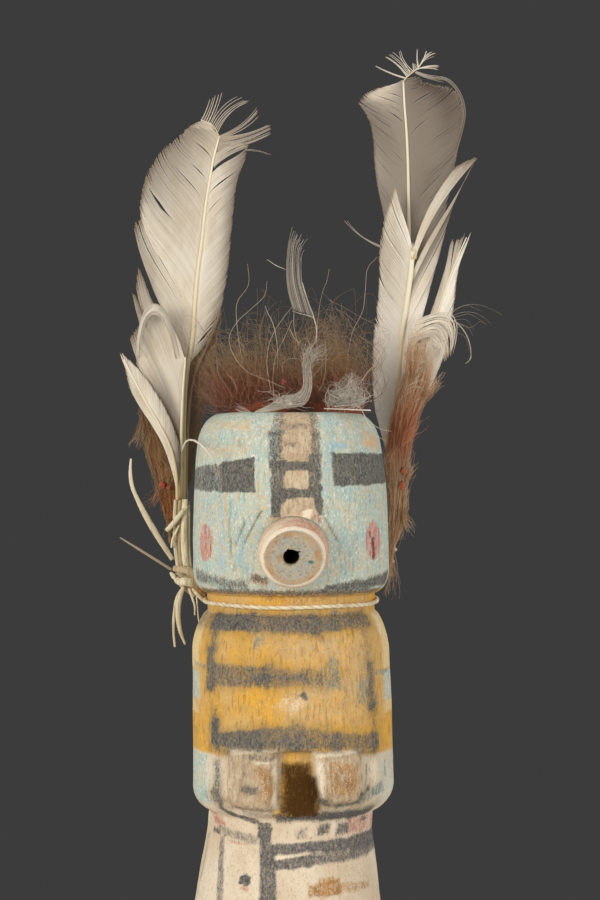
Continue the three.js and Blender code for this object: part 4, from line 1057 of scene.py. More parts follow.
left_short_shaft = [
    [189, -33.4, 3.1], [200, -33.2, 2.8], [213, -32.9, 2.6], [222, -32.5, 2.6], [232, -31.8, 2.8],
]
left_short = joined([
    # the barbs that stand up behind, in three pointed clumps
    vane(left_short_shaft, [[203, -48.6, 238], [206, -46.4, 241], [209, -44.6, 243]], seed=51, steep=0.3,
        curl=0.5, cup=-0.6, shade=[[0, 0.1, 0.5], [1, 0.1, 0.5]], lift=0.6),
    vane(left_short_shaft, [[207, -47.9, 251.4], [210, -46.9, 250.4], [214, -45.6, 247]], seed=52,
        steep=0.2, curl=0.7, cup=-0.4, shade=[[0, 0.1, 0.7], [1, 0.1, 0.6]], lift=0.8),
    vane(left_short_shaft, [[207, -46.8, 253.4], [210, -46.2, 258.8], [213, -45, 257], [216, -43.6, 253.4],
            [219, -42.2, 249.8], [223, -40.2, 246]],
        seed=53, steep=0.2, curl=0.5, cup=-0.2, shade=[[0, 0.15, 0.7], [1, 0.1, 0.4]], lift=1.1),
    # the broad clump in front, whose tips curl over forwards
    vane(left_short_shaft, [[196, -43.6, 221], [200, -46, 227.6], [205, -46.6, 233.6], [210, -45.6, 240],
            [216, -43.8, 244.4], [222, -41.2, 246.2], [227, -38.2, 245], [231, -35.2, 240]],
        seed=54, steep=0.15, curl=-0.25, cup=-2.6,
        shade=[[0, 1.8, 0.4], [0.3, 1.3, -0.2], [0.55, 0.3, -0.5], [1, -0.1, 0]], spacing=0.34, lift=-0.2),
    rolled_rim([[-46.2, -0.6, 232], [-45.9, -0.9, 237.6], [-44.6, -1.2, 243.6], [-42.4, -1.4, 247],
            [-39.8, -1.4, 247.3], [-37.2, -1.2, 244.6], [-34.9, -0.6, 238.4], [-33.2, 0.2, 231.4]],
        (-40.6, -2, 229), depth=0.17, count=20, seed=55, shade=(0.1, 0.9)),
    shaft_tube(left_short_shaft, 0.7, 0.3),
])

left_lower_shaft = [
    [189, -34.2, 1.5], [198, -34.6, 0.9], [205, -36.2, 0.4], [212, -39.6, -0.1], [218, -43.2, -0.5],
    [225, -46.9, -1], [231, -50, -1.4],
]
left_lower = joined([
    vane(left_lower_shaft, [[190, -36.2, 201], [195, -39.6, 209], [200, -43.4, 214.6], [205, -47, 219.4],
            [209, -48.8, 223.4], [213, -49.9, 228.4], [218, -50.9, 231.4], [226, -51.4, 233.4]],
        steep=0.4, curl=0.4, cup=0.7, seed=56, splits=[(203, 0.5, 1)],
        shade=[[0, 0.1, 0.2], [0.7, 0, 0.1], [1, 0.1, 0.3]], spacing=0.36),
    vane(left_lower_shaft, [[190, -33.2, 199], [197, -33.6, 206], [203, -35.8, 212.4], [210, -39.2, 219.4],
            [217, -43.9, 226.2], [222, -47.2, 230], [227, -50.6, 233]],
        steep=0.3, curl=0.4, cup=0.6, seed=57, spacing=0.36,
        shade=[[0, 1.2, 1.2], [0.25, 0.5, 0.6], [0.5, -0.1, 0], [1, -0.2, 0]]),
    shaft_tube(left_lower_shaft, 0.5, 0.16),
])

left_back_shaft = [
    [189, -31.9, 6.4], [205, -31.6, 7.6], [218, -30.8, 8.2], [230, -28.6, 9], [240, -25.4, 9.8],
    [247.5, -22.6, 10.4],
]
left_back = joined([
    vane(left_back_shaft, [[190, -29.4, 198], [197, -27.8, 208], [205, -25.8, 218], [213, -24.2, 226.6],
            [222, -22.6, 235.6], [230, -21.6, 241.6], [238, -21, 246.8]],
        steep=0.35, curl=0.4, cup=1, seed=58, splits=[(210, 0.6, 1.2), (226, 0.7, 1.4)],
        shade=[[0, 0.9, 1.3], [0.5, 0.9, 1.2], [1, 0.7, 1]], ragged=0.8),
    vane(left_back_shaft,
        [[196, -33.8, 206], [206, -33.9, 216], [216, -32.6, 227], [228, -29.4, 238.6], [238, -26, 245.6]],
        steep=0.35, curl=0.4, cup=0.4, seed=59, shade=[[0, 0.9, 1.1], [1, 0.8, 1]], ragged=0.8),
    fan((-29.6, 7.4, 226), (-28.2, 7.8, 231), (-21.6, 7.4, 246.6), (-22.8, 7.4, 243.6), count=10, bow=-0.02,
        seed=60, thick=0.16, spare=0.4, shade=0.2),
    shaft_tube(left_back_shaft, 0.6, 0.16),
])

# The right bundle.
right_tall_shaft = [
    [186, 31.6, 15.6], [212, 33.6, 17.4], [236, 35.2, 18.6], [252, 36, 19.2], [264, 36.4, 19.6],
    [281, 36.4, 20.2], [296, 36.1, 20.8], [304, 35.7, 21], [312, 35.1, 21.2], [318.6, 34.8, 21.4],
]
right_tall = joined([
    vane(right_tall_shaft, [[250, 30.8, 266], [258, 28.7, 277], [265, 27.2, 284], [272, 26.2, 289.6],
            [280, 25.6, 296], [287, 25.3, 301.6], [293, 24.3, 306], [297, 22.6, 309.6],
            [300.5, 20.8, 312.4], [303.5, 21.6, 313.4], [307, 22.8, 314.9], [311, 25, 316],
            [315, 28.2, 317], [318.6, 32.4, 317.9]],
        steep=0.7, curl=0.1, cup=2.6, seed=61, splits=[(301.6, 0.7, 0.9), (278, 0.2, 3)],
        holes=[(304.4, 0.45, 0.7, 0.26, 0.18), (309.4, 0.3, 0.6, 0.5, 0.34), (298.6, 0.3, 0.7, 0.55, 0.2),
            (312.6, 0.3, 0.6, 0.36, 0.2), (290.4, 0.26, 0.6, 0.3, 0.26), (307, 0.2, 0.5, 0.3, 0.2)],
        shade=[[0, 1.2, 1.1], [0.4, 0.85, 0.65], [0.8, 0.75, 0.6], [0.86, 0.75, -0.2], [1, 0.8, 0.3]]),
    vane(right_tall_shaft, [[250, 44.6, 268], [258, 47.8, 277.6], [266, 49.7, 286], [274, 51.2, 293.6],
            [282, 52.5, 300], [289, 53.6, 305.6], [294, 54.2, 310], [298, 53.2, 313.6], [302, 51, 316.4],
            [305, 49.2, 317.2], [308, 46.8, 317.6], [312, 44, 318.2], [315.4, 41.4, 319],
            [318.4, 39.2, 320.4]],
        steep=0.65, curl=0.3, cup=3.6, seed=63, ragged=0.5,
        splits=[(262, 0.5, 2.2), (271, 0.4, 1.8), (302.6, 0.5, 0.8)], holes=[(277, 0.5, 0.9, 0.42, 0.16),
            (292.6, 0.3, 0.6, 0.62, 0.2), (300, 0.35, 0.7, 0.24, 0.18), (309, 0.4, 0.7, 0.5, 0.3)],
        shade=[[0, 1.15, 1.3], [0.3, 0.95, 1.2], [0.6, 1, 1.3], [0.85, 1.1, 1.5], [1, 1.15, 1.7]]),
    tubes(np.array([[[34.8, 21.2, 318.4], [35.6, 21.2, 319.6], [37.2, 21.3, 321], [39.2, 21.4, 322.5],
                    [40.6, 21.5, 324.4], [41.4, 21.6, 326.2], [42, 21.6, 328]]]),
        np.array([[0.26, 0.25, 0.22, 0.2, 0.18, 0.14, 0.1]]), sides=6, kind=1),
    fan((35.4, 21.2, 319.4), (35.6, 21.2, 319.6), (26.2, 20.4, 322.9), (26.4, 20.4, 323.3), count=2,
        bow=0.03, seed=65, thick=0.14, spare=0.15),
    fan((35.9, 21.2, 319.9), (37, 21.3, 320.8), (29, 20.4, 326), (31.2, 20.6, 327.2), count=5, bow=-0.07,
        seed=66, thick=0.13, spare=0.2),
    fan((37.6, 21.3, 321.2), (38, 21.3, 321.6), (33.6, 20.8, 327.8), (34, 20.8, 328), count=2, bow=0.1,
        seed=67, thick=0.14, spare=0.2),
    fan((38, 21.3, 321.8), (39.4, 21.4, 322.8), (37.4, 21, 324), (38.2, 21.2, 324.4), count=4, bow=0,
        seed=68, thick=0.1, spare=0.15),
    fan((39.4, 21.4, 322.7), (39.6, 21.4, 322.9), (39, 21, 328.2), (39.4, 21, 328), count=2, bow=0.05,
        seed=69, thick=0.11, spare=0.15),
    fan((39.6, 21.4, 323), (40.8, 21.5, 325), (44.8, 21.2, 326.8), (43.4, 21.2, 327.4), count=7, bow=0.1,
        seed=70, thick=0.13, spare=0.4),
    fan((39, 21.4, 322.2), (39.2, 21.4, 322.4), (45.8, 21, 323.4), (45.6, 21, 322.4), count=7, bow=0.06,
        seed=71, thick=0.16, spare=0.35),
    fan((38.8, 21.3, 321.6), (38.4, 21.3, 321.2), (46.2, 21, 319.8), (47.2, 21, 318.4), count=8, bow=-0.04,
        seed=72, thick=0.18, spare=0.3, shade=0.7),
    rolled_rim([[44, 19.6, 319], [46.8, 19.2, 319.2], [49.7, 18.8, 317.6], [52.4, 18.6, 313.9],
            [53.7, 18.6, 308.9], [53.3, 18.6, 304.6], [52, 18.8, 299.4], [50.5, 19, 294.4]],
        (40, 19, 302), depth=0.06, count=9, seed=62, shade=(0.8, 1.7)),
    shaft_tube(right_tall_shaft, 1, 0.3),
])

right_front_shaft = [
    [183, 31, 13.2], [199, 31.7, 13.8], [211, 32.2, 14], [225, 32.7, 14], [236, 33.6, 14], [249, 35.5, 14],
    [258.6, 36.8, 14], [265, 37.3, 14],
]
right_front = joined([
    vane(right_front_shaft, [[196, 29.4, 203], [201, 27.2, 210.6], [206, 25.6, 217], [212, 24.9, 224],
            [220, 24.8, 232], [229, 25.4, 241], [237, 26.4, 250], [244, 27, 258], [250, 27, 265],
            [255, 27.7, 271], [259, 29, 276.6], [262, 30.6, 281.6], [264.8, 31.9, 285.6]],
        steep=0.7, curl=0.5, cup=1.8, seed=73, splits=[(235, 0.2, 2), (247, 0.2, 2.5), (212, 0.2, 2)],
        shade=[[0, -0.8, -0.8], [0.25, -0.6, -0.6], [0.6, -0.5, -0.2], [0.85, 0, 0.4], [1, -0.6, 0]]),
    vane(right_front_shaft, [[208, 35, 217], [215, 36.6, 226.4], [222, 38.6, 237.6], [229, 41.2, 247.6],
            [234, 43.4, 256], [239, 45.9, 265], [244, 47.8, 272.4], [248, 49.8, 279], [251, 51.4, 283.2]],
        steep=0.7, curl=0.35, cup=0.6, seed=74, splits=[(237, 0.5, 1.4), (245, 1, 1.2)],
        shade=[[0, -0.7, -0.6], [0.6, -0.6, -0.3], [0.85, 0.1, 0.8], [1, 1, 1.5]]),
    # outer barbs that have come away in long strips
    vane(right_front_shaft, [[251.4, 52.6, 285.6], [254, 54.6, 289.6], [256.6, 56.2, 292.4]], steep=0.7,
        curl=0.2, cup=-0.6, seed=75, shade=[[0, 0.2, 0.9], [1, 0.3, 0.7]], lift=0.3),
    vane(right_front_shaft, [[259.6, 57.2, 293.8], [262, 55, 293.2], [264.8, 51, 291.2]], steep=1.1,
        curl=-0.35, cup=-1.4, seed=76, shade=[[0, 0.1, 0.6], [1, 0, 0.5]], lift=-0.3),
    fan((27.4, 14.4, 266.2), (27.6, 14.4, 266.8), (17, 13.4, 274), (16.4, 13.6, 274.6), count=3, bow=0.07,
        seed=77, thick=0.12, spare=0.15, shade=0.6),
    shaft_tube(right_front_shaft, 0.9, 0.72),
    fan((36.9, 13.4, 262.4), (38.2, 13.4, 262.6), (36.7, 13.4, 266.6), (38.6, 13.4, 266.4), count=7, bow=0,
        seed=78, thick=0.2, spare=0.4, kind=1),
])

right_side_shaft = [
    [183, 31.6, 11.4], [200, 33, 11.6], [210, 34.2, 11.6], [222, 37.2, 11.4], [235, 41.2, 11.4],
    [246, 44.8, 11.6], [256, 48.2, 11.8], [264, 51.4, 11.8], [269, 53.6, 11.8],
]
right_side = joined([
    vane(right_side_shaft, [[200, 38.4, 217.6], [205, 42.6, 224], [210, 45.6, 229.6], [216, 47.9, 236.6],
            [223, 49.4, 244.4], [231, 50.4, 251.6], [239, 51, 257.6], [247, 52.2, 262.8], [254, 54, 267.4],
            [260, 55.2, 271]],
        steep=0.5, curl=0.45, cup=1, seed=79, splits=[(229, 0.6, 1.4), (250, 0.6, 1)],
        shade=[[0, -0.4, -0.3], [0.4, -0.4, -0.3], [0.7, -0.4, -0.8], [1, -0.2, -0.4]]),
    vane(right_side_shaft, [[204, 34.6, 214], [212, 36, 224], [222, 39, 235.6], [232, 42.6, 246],
            [241, 45.6, 254.8], [248, 47.8, 262.4], [253, 49.2, 268.4], [257, 51.4, 268.6],
            [262, 53.2, 270.4]],
        steep=0.4, curl=0.45, cup=0.6, seed=80, splits=[(246, 0.7, 1), (255, 0.9, 0.8)],
        shade=[[0, 0, 0.1], [0.6, 0.2, 0.4], [1, 0.3, 0.8]]),
    # beige barbs bent over and hanging down in front
    fan((34.8, 10.4, 233), (38.4, 10.2, 243.6), (46.6, 9.4, 231.2), (49, 9.6, 233.6), count=34, bow=0.55,
        seed=81, thick=0.17, spare=0.35, shade=0),
    fan((49.6, 9.8, 243.6), (49.9, 9.8, 243.2), (54.6, 9, 232), (54.9, 9, 232.6), count=3, bow=0.13,
        seed=82, thick=0.13, spare=0.15, shade=0.6),
    fan((54.8, 9, 232.8), (54.9, 9, 232.4), (53.2, 9, 230.2), (53, 9, 230.4), count=3, bow=0.1, seed=83,
        thick=0.09, spare=0.1, shade=0.6),
    # curly fluff at its foot, and fine threads that blow off to the right
    fan((33, 10.6, 214), (36.4, 10.2, 238), (38.2, 9.2, 220), (42.4, 9.4, 240), count=90, bow=0.2, seed=84,
        thick=0.09, spare=1.5, wave=0.9, rings=16, shade=0),
    fan((48.6, 10.4, 246), (49, 10.4, 240), (61, 9.6, 247), (56, 9.6, 236), count=10, bow=0.2, seed=85,
        thick=0.045, spare=2.2, wave=0.9, rings=16, shade=0.8),
    shaft_tube(right_side_shaft, 0.5, 0.16),
])

feather_look, tree, output = new_material("white_feather")
barb_way = reading(tree, "along")
cream = shaded(tree, noise(tree, (160, 160, 60), 3.0), 0.35, 0.66, "e9dfcd", "dccdb6")
cream = shaded(tree, reading(tree, "tone"), -1.2, 2.2, cream, "b49c7e", 0.28)
tint = shaded(tree, reading(tree, "shade"), 0.0, 1.0, cream, "8a7d6e", 0.92)
tint = shaded(tree, reading(tree, "shade"), 1.0, 1.6, tint, "5f4a36", 0.9)
tint = shaded(tree, reading(tree, "shade"), 0.0, -0.8, tint, "fdf6e8")
tint = shaded(tree, barb_way, 0.92, 1.0, tint, "a88960", 0.75)
quill = blend_colours(tree, barb_way, "cdb382", "efe6c9")
tint = blend_colours(tree, reading(tree, "kind"), tint, quill)
finish_material(tree, output, {
    "Base Color": tint, "Roughness": 0.62, "Specular IOR Level": 0.3, "Sheen Weight": 0.25,
    "Sheen Roughness": 0.4})

shaded_look, tree, output = new_material("shaded_feather")
brown = shaded(tree, reading(tree, "shade"), 0.0, 1.2, "b59c7c", "70563c")
brown = shaded(tree, reading(tree, "tone"), -1.0, 2.0, brown, "4a3828", 0.5)
brown = shaded(tree, noise(tree, (140, 140, 60), 3.0), 0.4, 0.65, brown, "94795a", 0.4)
finish_material(tree, output, {"Base Color": brown, "Roughness": 0.75, "Sheen Weight": 0.2})

for name, (points, faces, values), node, look, slot_name in (
        ("left_tall_vanes", left_tall, "left_feather_tall", feather_look, "white_feather"),
        ("left_curled_vanes", left_short, "left_feather_short", feather_look, "white_feather"),
        ("left_lower_vanes", left_lower, "left_feather_lower", feather_look, "white_feather"),
        ("left_back_vanes", left_back, "left_feather_back", shaded_look, "shaded_feather"),
        ("right_tall_vanes", right_tall, "right_feather_tall", feather_look, "white_feather"),
        ("right_front_vanes", right_front, "right_feather_front", feather_look, "white_feather"),
        ("right_side_vanes", right_side, "right_feather_side", feather_look, "white_feather")):
    feather_piece = new_mesh(name, points, faces, values, look)
    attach(feather_piece, "root")
    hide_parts(node)

# ---- the fur
# Rusty animal fur: a mop glued on the crown and a tuft tied behind each bundle of feathers.
# Each is a soft core under some two thousand separate hairs.


def hair_paths(root, tip, bow, sway, rings, random):
    """Lines from roots to tips, pushed aside in the middle by bow, with two waves along them
    that grow towards the tips to the height sway."""
    count = len(root)
    t = np.linspace(0, 1, rings)[None, :, None]
    path = root[:, None] + (tip - root)[:, None] * t + bow[:, None] * 4 * t * (1 - t)
    for pace in (random.uniform(2.5, 6, (count, 1, 1)), random.uniform(7, 14, (count, 1, 1))):
        side = random.normal(0, 1, (count, 1, 3)) / pace * 4
        path = path + sway * side * (np.sin(t * pace + random.uniform(0, 6, (count, 1, 1)))) * t
    return path


def hairs(root, tip, bow_size, sway, thick, random, rings=9, **values):
    """Hairs with random bows; each value is given per hair. Thick at the root, fine at the tip."""
    count = len(root)
    bow = random.normal(0, 1, (count, 3)) * bow_size
    path = hair_paths(root, tip, bow, sway, rings, random)
    wide = thick * random.uniform(0.6, 1.3, (count, 1)) * np.linspace(1.0, 0.45, rings)[None]
    return tubes(path, wide, sides=3, tone=random.normal(0, 1, count), **values)


def thread(knots, thick, sides=5, rings=40, flat=1.0, **values):
    """One strand along a smooth line through knots [x, y, z]. Its half width goes evenly through
    the values of thick, and "flat" times that is its half depth."""
    knots = np.array(knots, float)
    reach = np.concatenate([[0], np.cumsum(np.linalg.norm(np.diff(knots, axis=0), axis=1))])
    path = smooth_line(np.column_stack([reach, knots]), np.linspace(0, reach[-1], rings))[None]
    wide = np.interp(np.linspace(0, 1, rings), np.linspace(0, 1, len(thick)), thick)[None]
    return tubes(path, wide, wide * flat, sides=sides, **values)


def lump_of(centre, half, seed, rows=22, columns=30, rough=0.25, **values):
    """A closed lumpy ball: a sphere of rings with the half sizes, swollen by value noise."""
    turn, climb = np.meshgrid(np.linspace(0, 2 * math.pi, columns, endpoint=False),
                              np.linspace(-1.45, 1.45, rows))
    ball = np.stack([np.cos(climb) * np.cos(turn), np.cos(climb) * np.sin(turn), np.sin(climb)], axis=-1)
    ball = np.concatenate([ball.reshape(-1, 3), [[0, 0, -1], [0, 0, 1]]])
    ball = ball * (1 + rough * lumps(ball * 2.2 + 5, seed))[:, None]
    points = np.array(centre) + ball * np.array(half)
    faces = [wrapped_faces(rows, columns), ring_caps(rows, columns)]
    return points, faces, {key: np.full(len(points), value) for key, value in values.items()}


# The longest pale hairs of the crown, from root to tip.
pale_hair_rows = [
    [(-5.9, -8, 221.2), (-6.5, -8, 224.7), (-7.1, -8, 230), (-6.5, -8, 235.1), (-3.7, -8, 241),
        (0.3, -8, 246.3)],
    [(-1.7, -9, 222.3), (-6.5, -9, 224.4), (-13.8, -9, 227.9), (-17.1, -9, 232.4), (-18.3, -9, 236.8),
        (-15.9, -9, 241.8), (-11.5, -8, 246), (-7.6, -8, 250.1), (-7.1, -8, 253.9)],
    [(-5, -8, 218), (-5.2, -8, 227), (-4.4, -8, 232), (-2, -8, 237), (0.4, -8, 242.5)],
    [(16.6, 1, 222), (17, 2, 232), (18.7, 2, 240), (21.6, 2, 246), (22.4, 2, 252.5), (23.4, 2, 259.3),
        (26, 2, 262.1)],
    [(8.4, 0, 224), (7.8, 1, 235), (8.4, 2, 246), (9.6, 2, 251.9), (10.8, 2, 254.9), (11.5, 2, 258.5)],
    [(-12.6, 0, 222), (-14.8, 0, 232), (-16.2, 0, 241.5), (-16.1, 0, 248.3), (-12.8, 0, 253.5),
        (-13, 0, 259.9)],
    [(6, -4, 224), (6.4, -5, 231), (4.2, -6, 237.1), (1.8, -6, 235.2), (0.8, -6, 232.8), (1.5, -6, 230.4)],
    [(-2.3, -7, 227.1), (-2.5, -7, 229.5), (-0.6, -7, 231), (3, -7, 230.4), (3.6, -7, 228.3)],
    [(8, -9, 221.1), (9.2, -9, 223.2), (10.4, -9, 230.6), (10.1, -9, 236.5)],
    [(-0.3, -7, 239.6), (1.5, -7, 236.6), (3.6, -7, 235.1)],
]


def crown_mop():
    """Hairs from an oval patch on the crown. They lean outwards the more the nearer its edge
    they stand; the rust-red ones stand in two thick clumps with a thin parting between."""
    random = np.random.default_rng(5)
    clumps = [(-9.0, 5.2, 0.5, 3.6, 1080, 11, 6.0), (9.6, 2.6, 0.5, 3.6, 380, 12, 5.4),
              (14.2, 2.8, 3.0, 3.6, 800, 14, 7.0), (1.5, 3.8, 3.0, 3.6, 240, 11, 6.0)]
    parts = []
    for x, half, y, deep, count, shortest, more in clumps:
        root = np.stack([random.normal(x, half, count), random.normal(y, deep, count),
                         random.uniform(215.4, 218.5, count)], axis=-1)
        root[:, 0] = np.clip(root[:, 0], -20, 19.5)
        root[:, 1] = np.clip(root[:, 1], -11, 14)
        sideways = random.normal(0, 0.55, count)
        sideways = np.where(root[:, 0] > 12, -np.abs(sideways) * 0.6, sideways + (root[:, 0] - 2) / 40)
        sideways = np.clip(sideways, np.clip(-(root[:, 0] + 24) / 14, -0.8, 0), 0.8)
        lean = np.stack([sideways,
                         (root[:, 1] - 1) / 30 + random.normal(0, 0.25, count), np.ones(count)], axis=-1)
        length = shortest * random.uniform(0.45, 1.1, count) + random.exponential(more, count)
        length = np.minimum(length, 30)[:, None]
        tip = root + unit(lean) * length
        for chosen, rings in ((length[:, 0] < 15, 8), (length[:, 0] >= 15, 14)):
            parts.append(hairs(root[chosen], tip[chosen], length[chosen] * 0.24, 3.0, 0.062, random,
                               rings=rings))
    # side hair that lies over the left feathers and along the edge of the crown
    count = 480
    root = np.stack([random.uniform(-22, -8, count), random.uniform(-9, 6, count),
                     random.uniform(215.2, 219, count)], axis=-1)
    root[:, 2] -= np.maximum(-19 - root[:, 0], 0) * 0.5
    tip = root + np.stack([random.uniform(-11, 2, count), random.uniform(-3, 3, count),
                           random.uniform(2, 19, count)], axis=-1)
    parts.append(hairs(root, tip, 1.2, 1.2, 0.065, random, rings=8))
    parts.append(lump_of((-8.5, 1.5, 215.9), (11, 9, 4.2), seed=71))
    parts.append(lump_of((13.5, 2.0, 215.9), (8.5, 9, 5.0), seed=72))
    for knots in pale_hair_rows:
        parts.append(thread(knots, (0.07, 0.055, 0.035), sides=4, pale=1.0))
    parts.append(lump_of((-2.1, -8.2, 224.2), (0.6, 0.6, 0.8), seed=73, rows=10, columns=12, rough=0.6,
                         red=0.8))
    return joined(parts)


def tuft(rows, count, core, seed, strays, length=(8, 20), sway=2.3, **values):
    """A tuft of fur. Rows give height, left and right edges, y and depth. Each hair keeps its
    share of the width as it runs up the tuft, so that the hairs gather where it narrows, and
    its free end flares out a little. A core of the same shape lies inside."""
    random = np.random.default_rng(seed)
    rows = np.array(rows, float)
    low, high = rows[0, 0], rows[-1, 0]
    long = random.uniform(*length, count)
    start = random.uniform(low, high - 4, count)
    end = np.where(random.uniform(size=count) < 0.35, start - long * 0.6, start + long)
    end = np.clip(end, low - 2, high + random.uniform(-3, 9, count))
    t = np.linspace(0, 1, 9)[None, :]
    z = start[:, None] + (end - start)[:, None] * t
    place = smooth_line(rows, np.clip(z, low, high))
    angle = random.uniform(0, 2 * math.pi, count)[:, None]
    reach = np.sqrt(random.uniform(0.2, 1, count))[:, None] * (0.92 + 0.22 * t ** 2)
    middle, half = (place[..., 0] + place[..., 1]) / 2, (place[..., 1] - place[..., 0]) / 2
    x = middle + half * reach * np.cos(angle)
    y = place[..., 2] + place[..., 3] * reach * np.sin(angle)
    path = np.stack([x, y, z], axis=-1)
    for pace in (random.uniform(3, 7, (count, 1, 1)), random.uniform(8, 15, (count, 1, 1))):
        swing = random.normal(0, sway, (count, 1, 3)) / pace
        path = path + swing * np.sin(t[..., None] * pace + random.uniform(0, 6, (count, 1, 1))) * t[..., None]
    wide = 0.052 * random.uniform(0.6, 1.3, (count, 1)) * np.linspace(1, 0.5, 9)[None]
    parts = [tubes(path, wide, sides=3, tone=random.normal(0, 1, count), **values)]
    spine = smooth_line(rows, np.linspace(low + 1, high - 3, 40))
    core_path = np.stack([(spine[:, 0] + spine[:, 1]) / 2, spine[:, 2], np.linspace(low + 1, high - 3, 40)],
                         axis=-1)[None]
    taper = core * np.sqrt(np.clip(1 - np.linspace(0, 1, 40) ** 3, 0.004, 1))[None]
    parts.append(tubes(core_path, taper * (spine[:, 1] - spine[:, 0])[None] / 2, taper * spine[:, 3][None],
                       sides=20))
    for root, tip, number, loose in strays:
        root = np.array(root) + random.normal(0, 0.5, (number, 3))
        tip = np.array(tip) + random.normal(0, loose, (number, 3))
        span = np.linalg.norm(tip - root, axis=1)[:, None]
        parts.append(hairs(root, tip, 0.06 * span, 0.6, 0.055, random))
    return parts


left_tuft_rows = [
    [178.2, -36.9, -36.2, 8, 0.5], [182, -37.9, -34.6, 8, 1.6], [186, -39.3, -32.8, 8, 2.6],
    [193, -41.1, -32.2, 8, 3.2], [204, -44.1, -32.8, 8, 3.4], [213, -45.6, -34.8, 8, 3],
    [218, -46, -38, 7.6, 2], [222, -45.2, -41, 7.4, 0.9],
]
left_stray_rows = [
    ((-37, 8, 181), (-35.5, 7, 176.5), 40, 0.8), ((-40, 6, 192), (-42.5, 4, 188), 25, 1.2),
    ((-45, 7, 214), (-47, 6, 206), 30, 1), ((-33.5, 5, 196), (-36, 3, 204), 60, 2),
    ((-34, 5, 200), (-37, 3.4, 197), 60, 1.6),
]
left_burrs = [
    lump_of((-38.8, 5, 193.4), (0.9, 0.7, 0.8), seed=82, rows=12, columns=14, rough=0.6, red=0.85),
    lump_of((-37, 5.2, 192.6), (0.6, 0.5, 0.5), seed=83, rows=12, columns=14, rough=0.6, red=0.6),
]
left_tuft = joined(
    tuft(left_tuft_rows, count=2350, core=0.72, seed=81, strays=left_stray_rows) + left_burrs)

right_tuft_rows = [
    [168, 28.6, 30, 9.6, 0.3], [173, 28.9, 31, 10, 1.2], [178, 28.7, 33.4, 10.4, 2],
    [185, 28.6, 35, 10.8, 2.4], [192, 28.6, 35.5, 10.8, 2.6], [203, 28.7, 36.2, 10.6, 2.8],
    [211, 29.8, 37.9, 10.4, 2.8], [222, 32.2, 41.9, 10.2, 2.2], [229, 34.6, 43.4, 10, 1],
]
right_stray_rows = [
    ((29.6, 9, 172), (29.2, 8.6, 160.2), 14, 0.9), ((30.6, 9, 174), (30.4, 8.8, 164), 30, 1.2),
    ((36.5, 8.6, 226), (38, 8.2, 240), 90, 2.2), ((33, 8.8, 206), (27.6, 6.5, 200), 14, 1.6),
    ((34.2, 8.6, 186), (35.6, 8, 180), 40, 1), ((35.4, 8.6, 196), (37, 8, 199), 30, 1),
    ((33, 8, 205), (37, 7.4, 212), 60, 1.8), ((41, 9, 220), (44, 8.6, 226), 50, 1.4),
]
right_burrs = [
    lump_of((34.2, 8.2, 197.6), (0.8, 0.5, 0.8), seed=87, rows=10, columns=12, rough=0.8, red=0.7),
    lump_of((33.6, 8.1, 193.4), (0.8, 0.5, 1.1), seed=88, rows=10, columns=12, rough=0.8, red=0.8),
]
right_tuft = joined(
    tuft(right_tuft_rows, count=2250, core=0.56, seed=85, strays=right_stray_rows, length=(10, 26),
         sway=3.6) + right_burrs)


def fur_material(name, root_brown, middle, tip_brown, rust, rust_low, rust_high):
    """Fur that is browner at its roots and paler at its tips, with a rusty stretch between
    two heights, and red or pale hairs where the attributes say so."""
    look, tree, output = new_material(name)
    way = reading(tree, "along")
    tint = shaded(tree, way, 0.0, 0.5, root_brown, middle)
    tint = shaded(tree, way, 0.5, 1.0, tint, tip_brown)
    place = add_node(tree, "TexCoord").outputs["Object"]
    high = add_node(tree, "SeparateXYZ", {"Vector": place}).outputs["Z"]
    rising = spread(tree, high, rust_low, (rust_low + rust_high) / 2)
    falling = spread(tree, high, (rust_low + rust_high) / 2, rust_high, 1.0, 0.0)
    rusty = maths(tree, "MULTIPLY", maths(tree, "MULTIPLY", rising, falling), 0.75)
    tint = blend_colours(tree, rusty, tint, rust)
    tint = shaded(tree, reading(tree, "tone"), -0.3, 2.4, tint, "c7aa82", 0.6)
    tint = shaded(tree, reading(tree, "tone"), -0.4, -2.4, tint, "2c1a10", 0.7)
    tint = blend_colours(tree, reading(tree, "pale"), tint, "cdb896")
    tint = blend_colours(tree, reading(tree, "red"), tint, "a93c2c")
    finish_material(tree, output, {
        "Base Color": tint, "Roughness": 0.7, "Specular IOR Level": 0.35, "Sheen Weight": 0.2})
    return look


crown_look = fur_material("dark_fur_crown", "6e300f", "8d5a26", "8c6f3e", "8a3d17", 0.210, 0.231)
left_look = fur_material("dark_fur", "7d4a27", "a0703f", "b9935c", "b46628", 0.178, 0.196)
right_look = fur_material("light_fur", "c48c5a", "dfb184", "e4c6a0", "cc6630", 0.194, 0.226)
for name, (points, faces, values), node, look, slot_name in (
        ("crown_mop", crown_mop(), "crown_fur", crown_look, "dark_fur"),
        ("left_tuft_hairs", left_tuft, "left_fur_tuft", left_look, "dark_fur"),
        ("right_tuft_hairs", right_tuft, "right_fur_tuft", right_look, "light_fur")):
    fur_piece = new_mesh(name, points, faces, values, look)
    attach(fur_piece, "root")
    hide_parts(node)

# ---- the down plumes
# Three small soft plumes of down, stuck by their quills in the fur of the crown. One stands
# up between the bundles, and two lie in front, where they are matted.


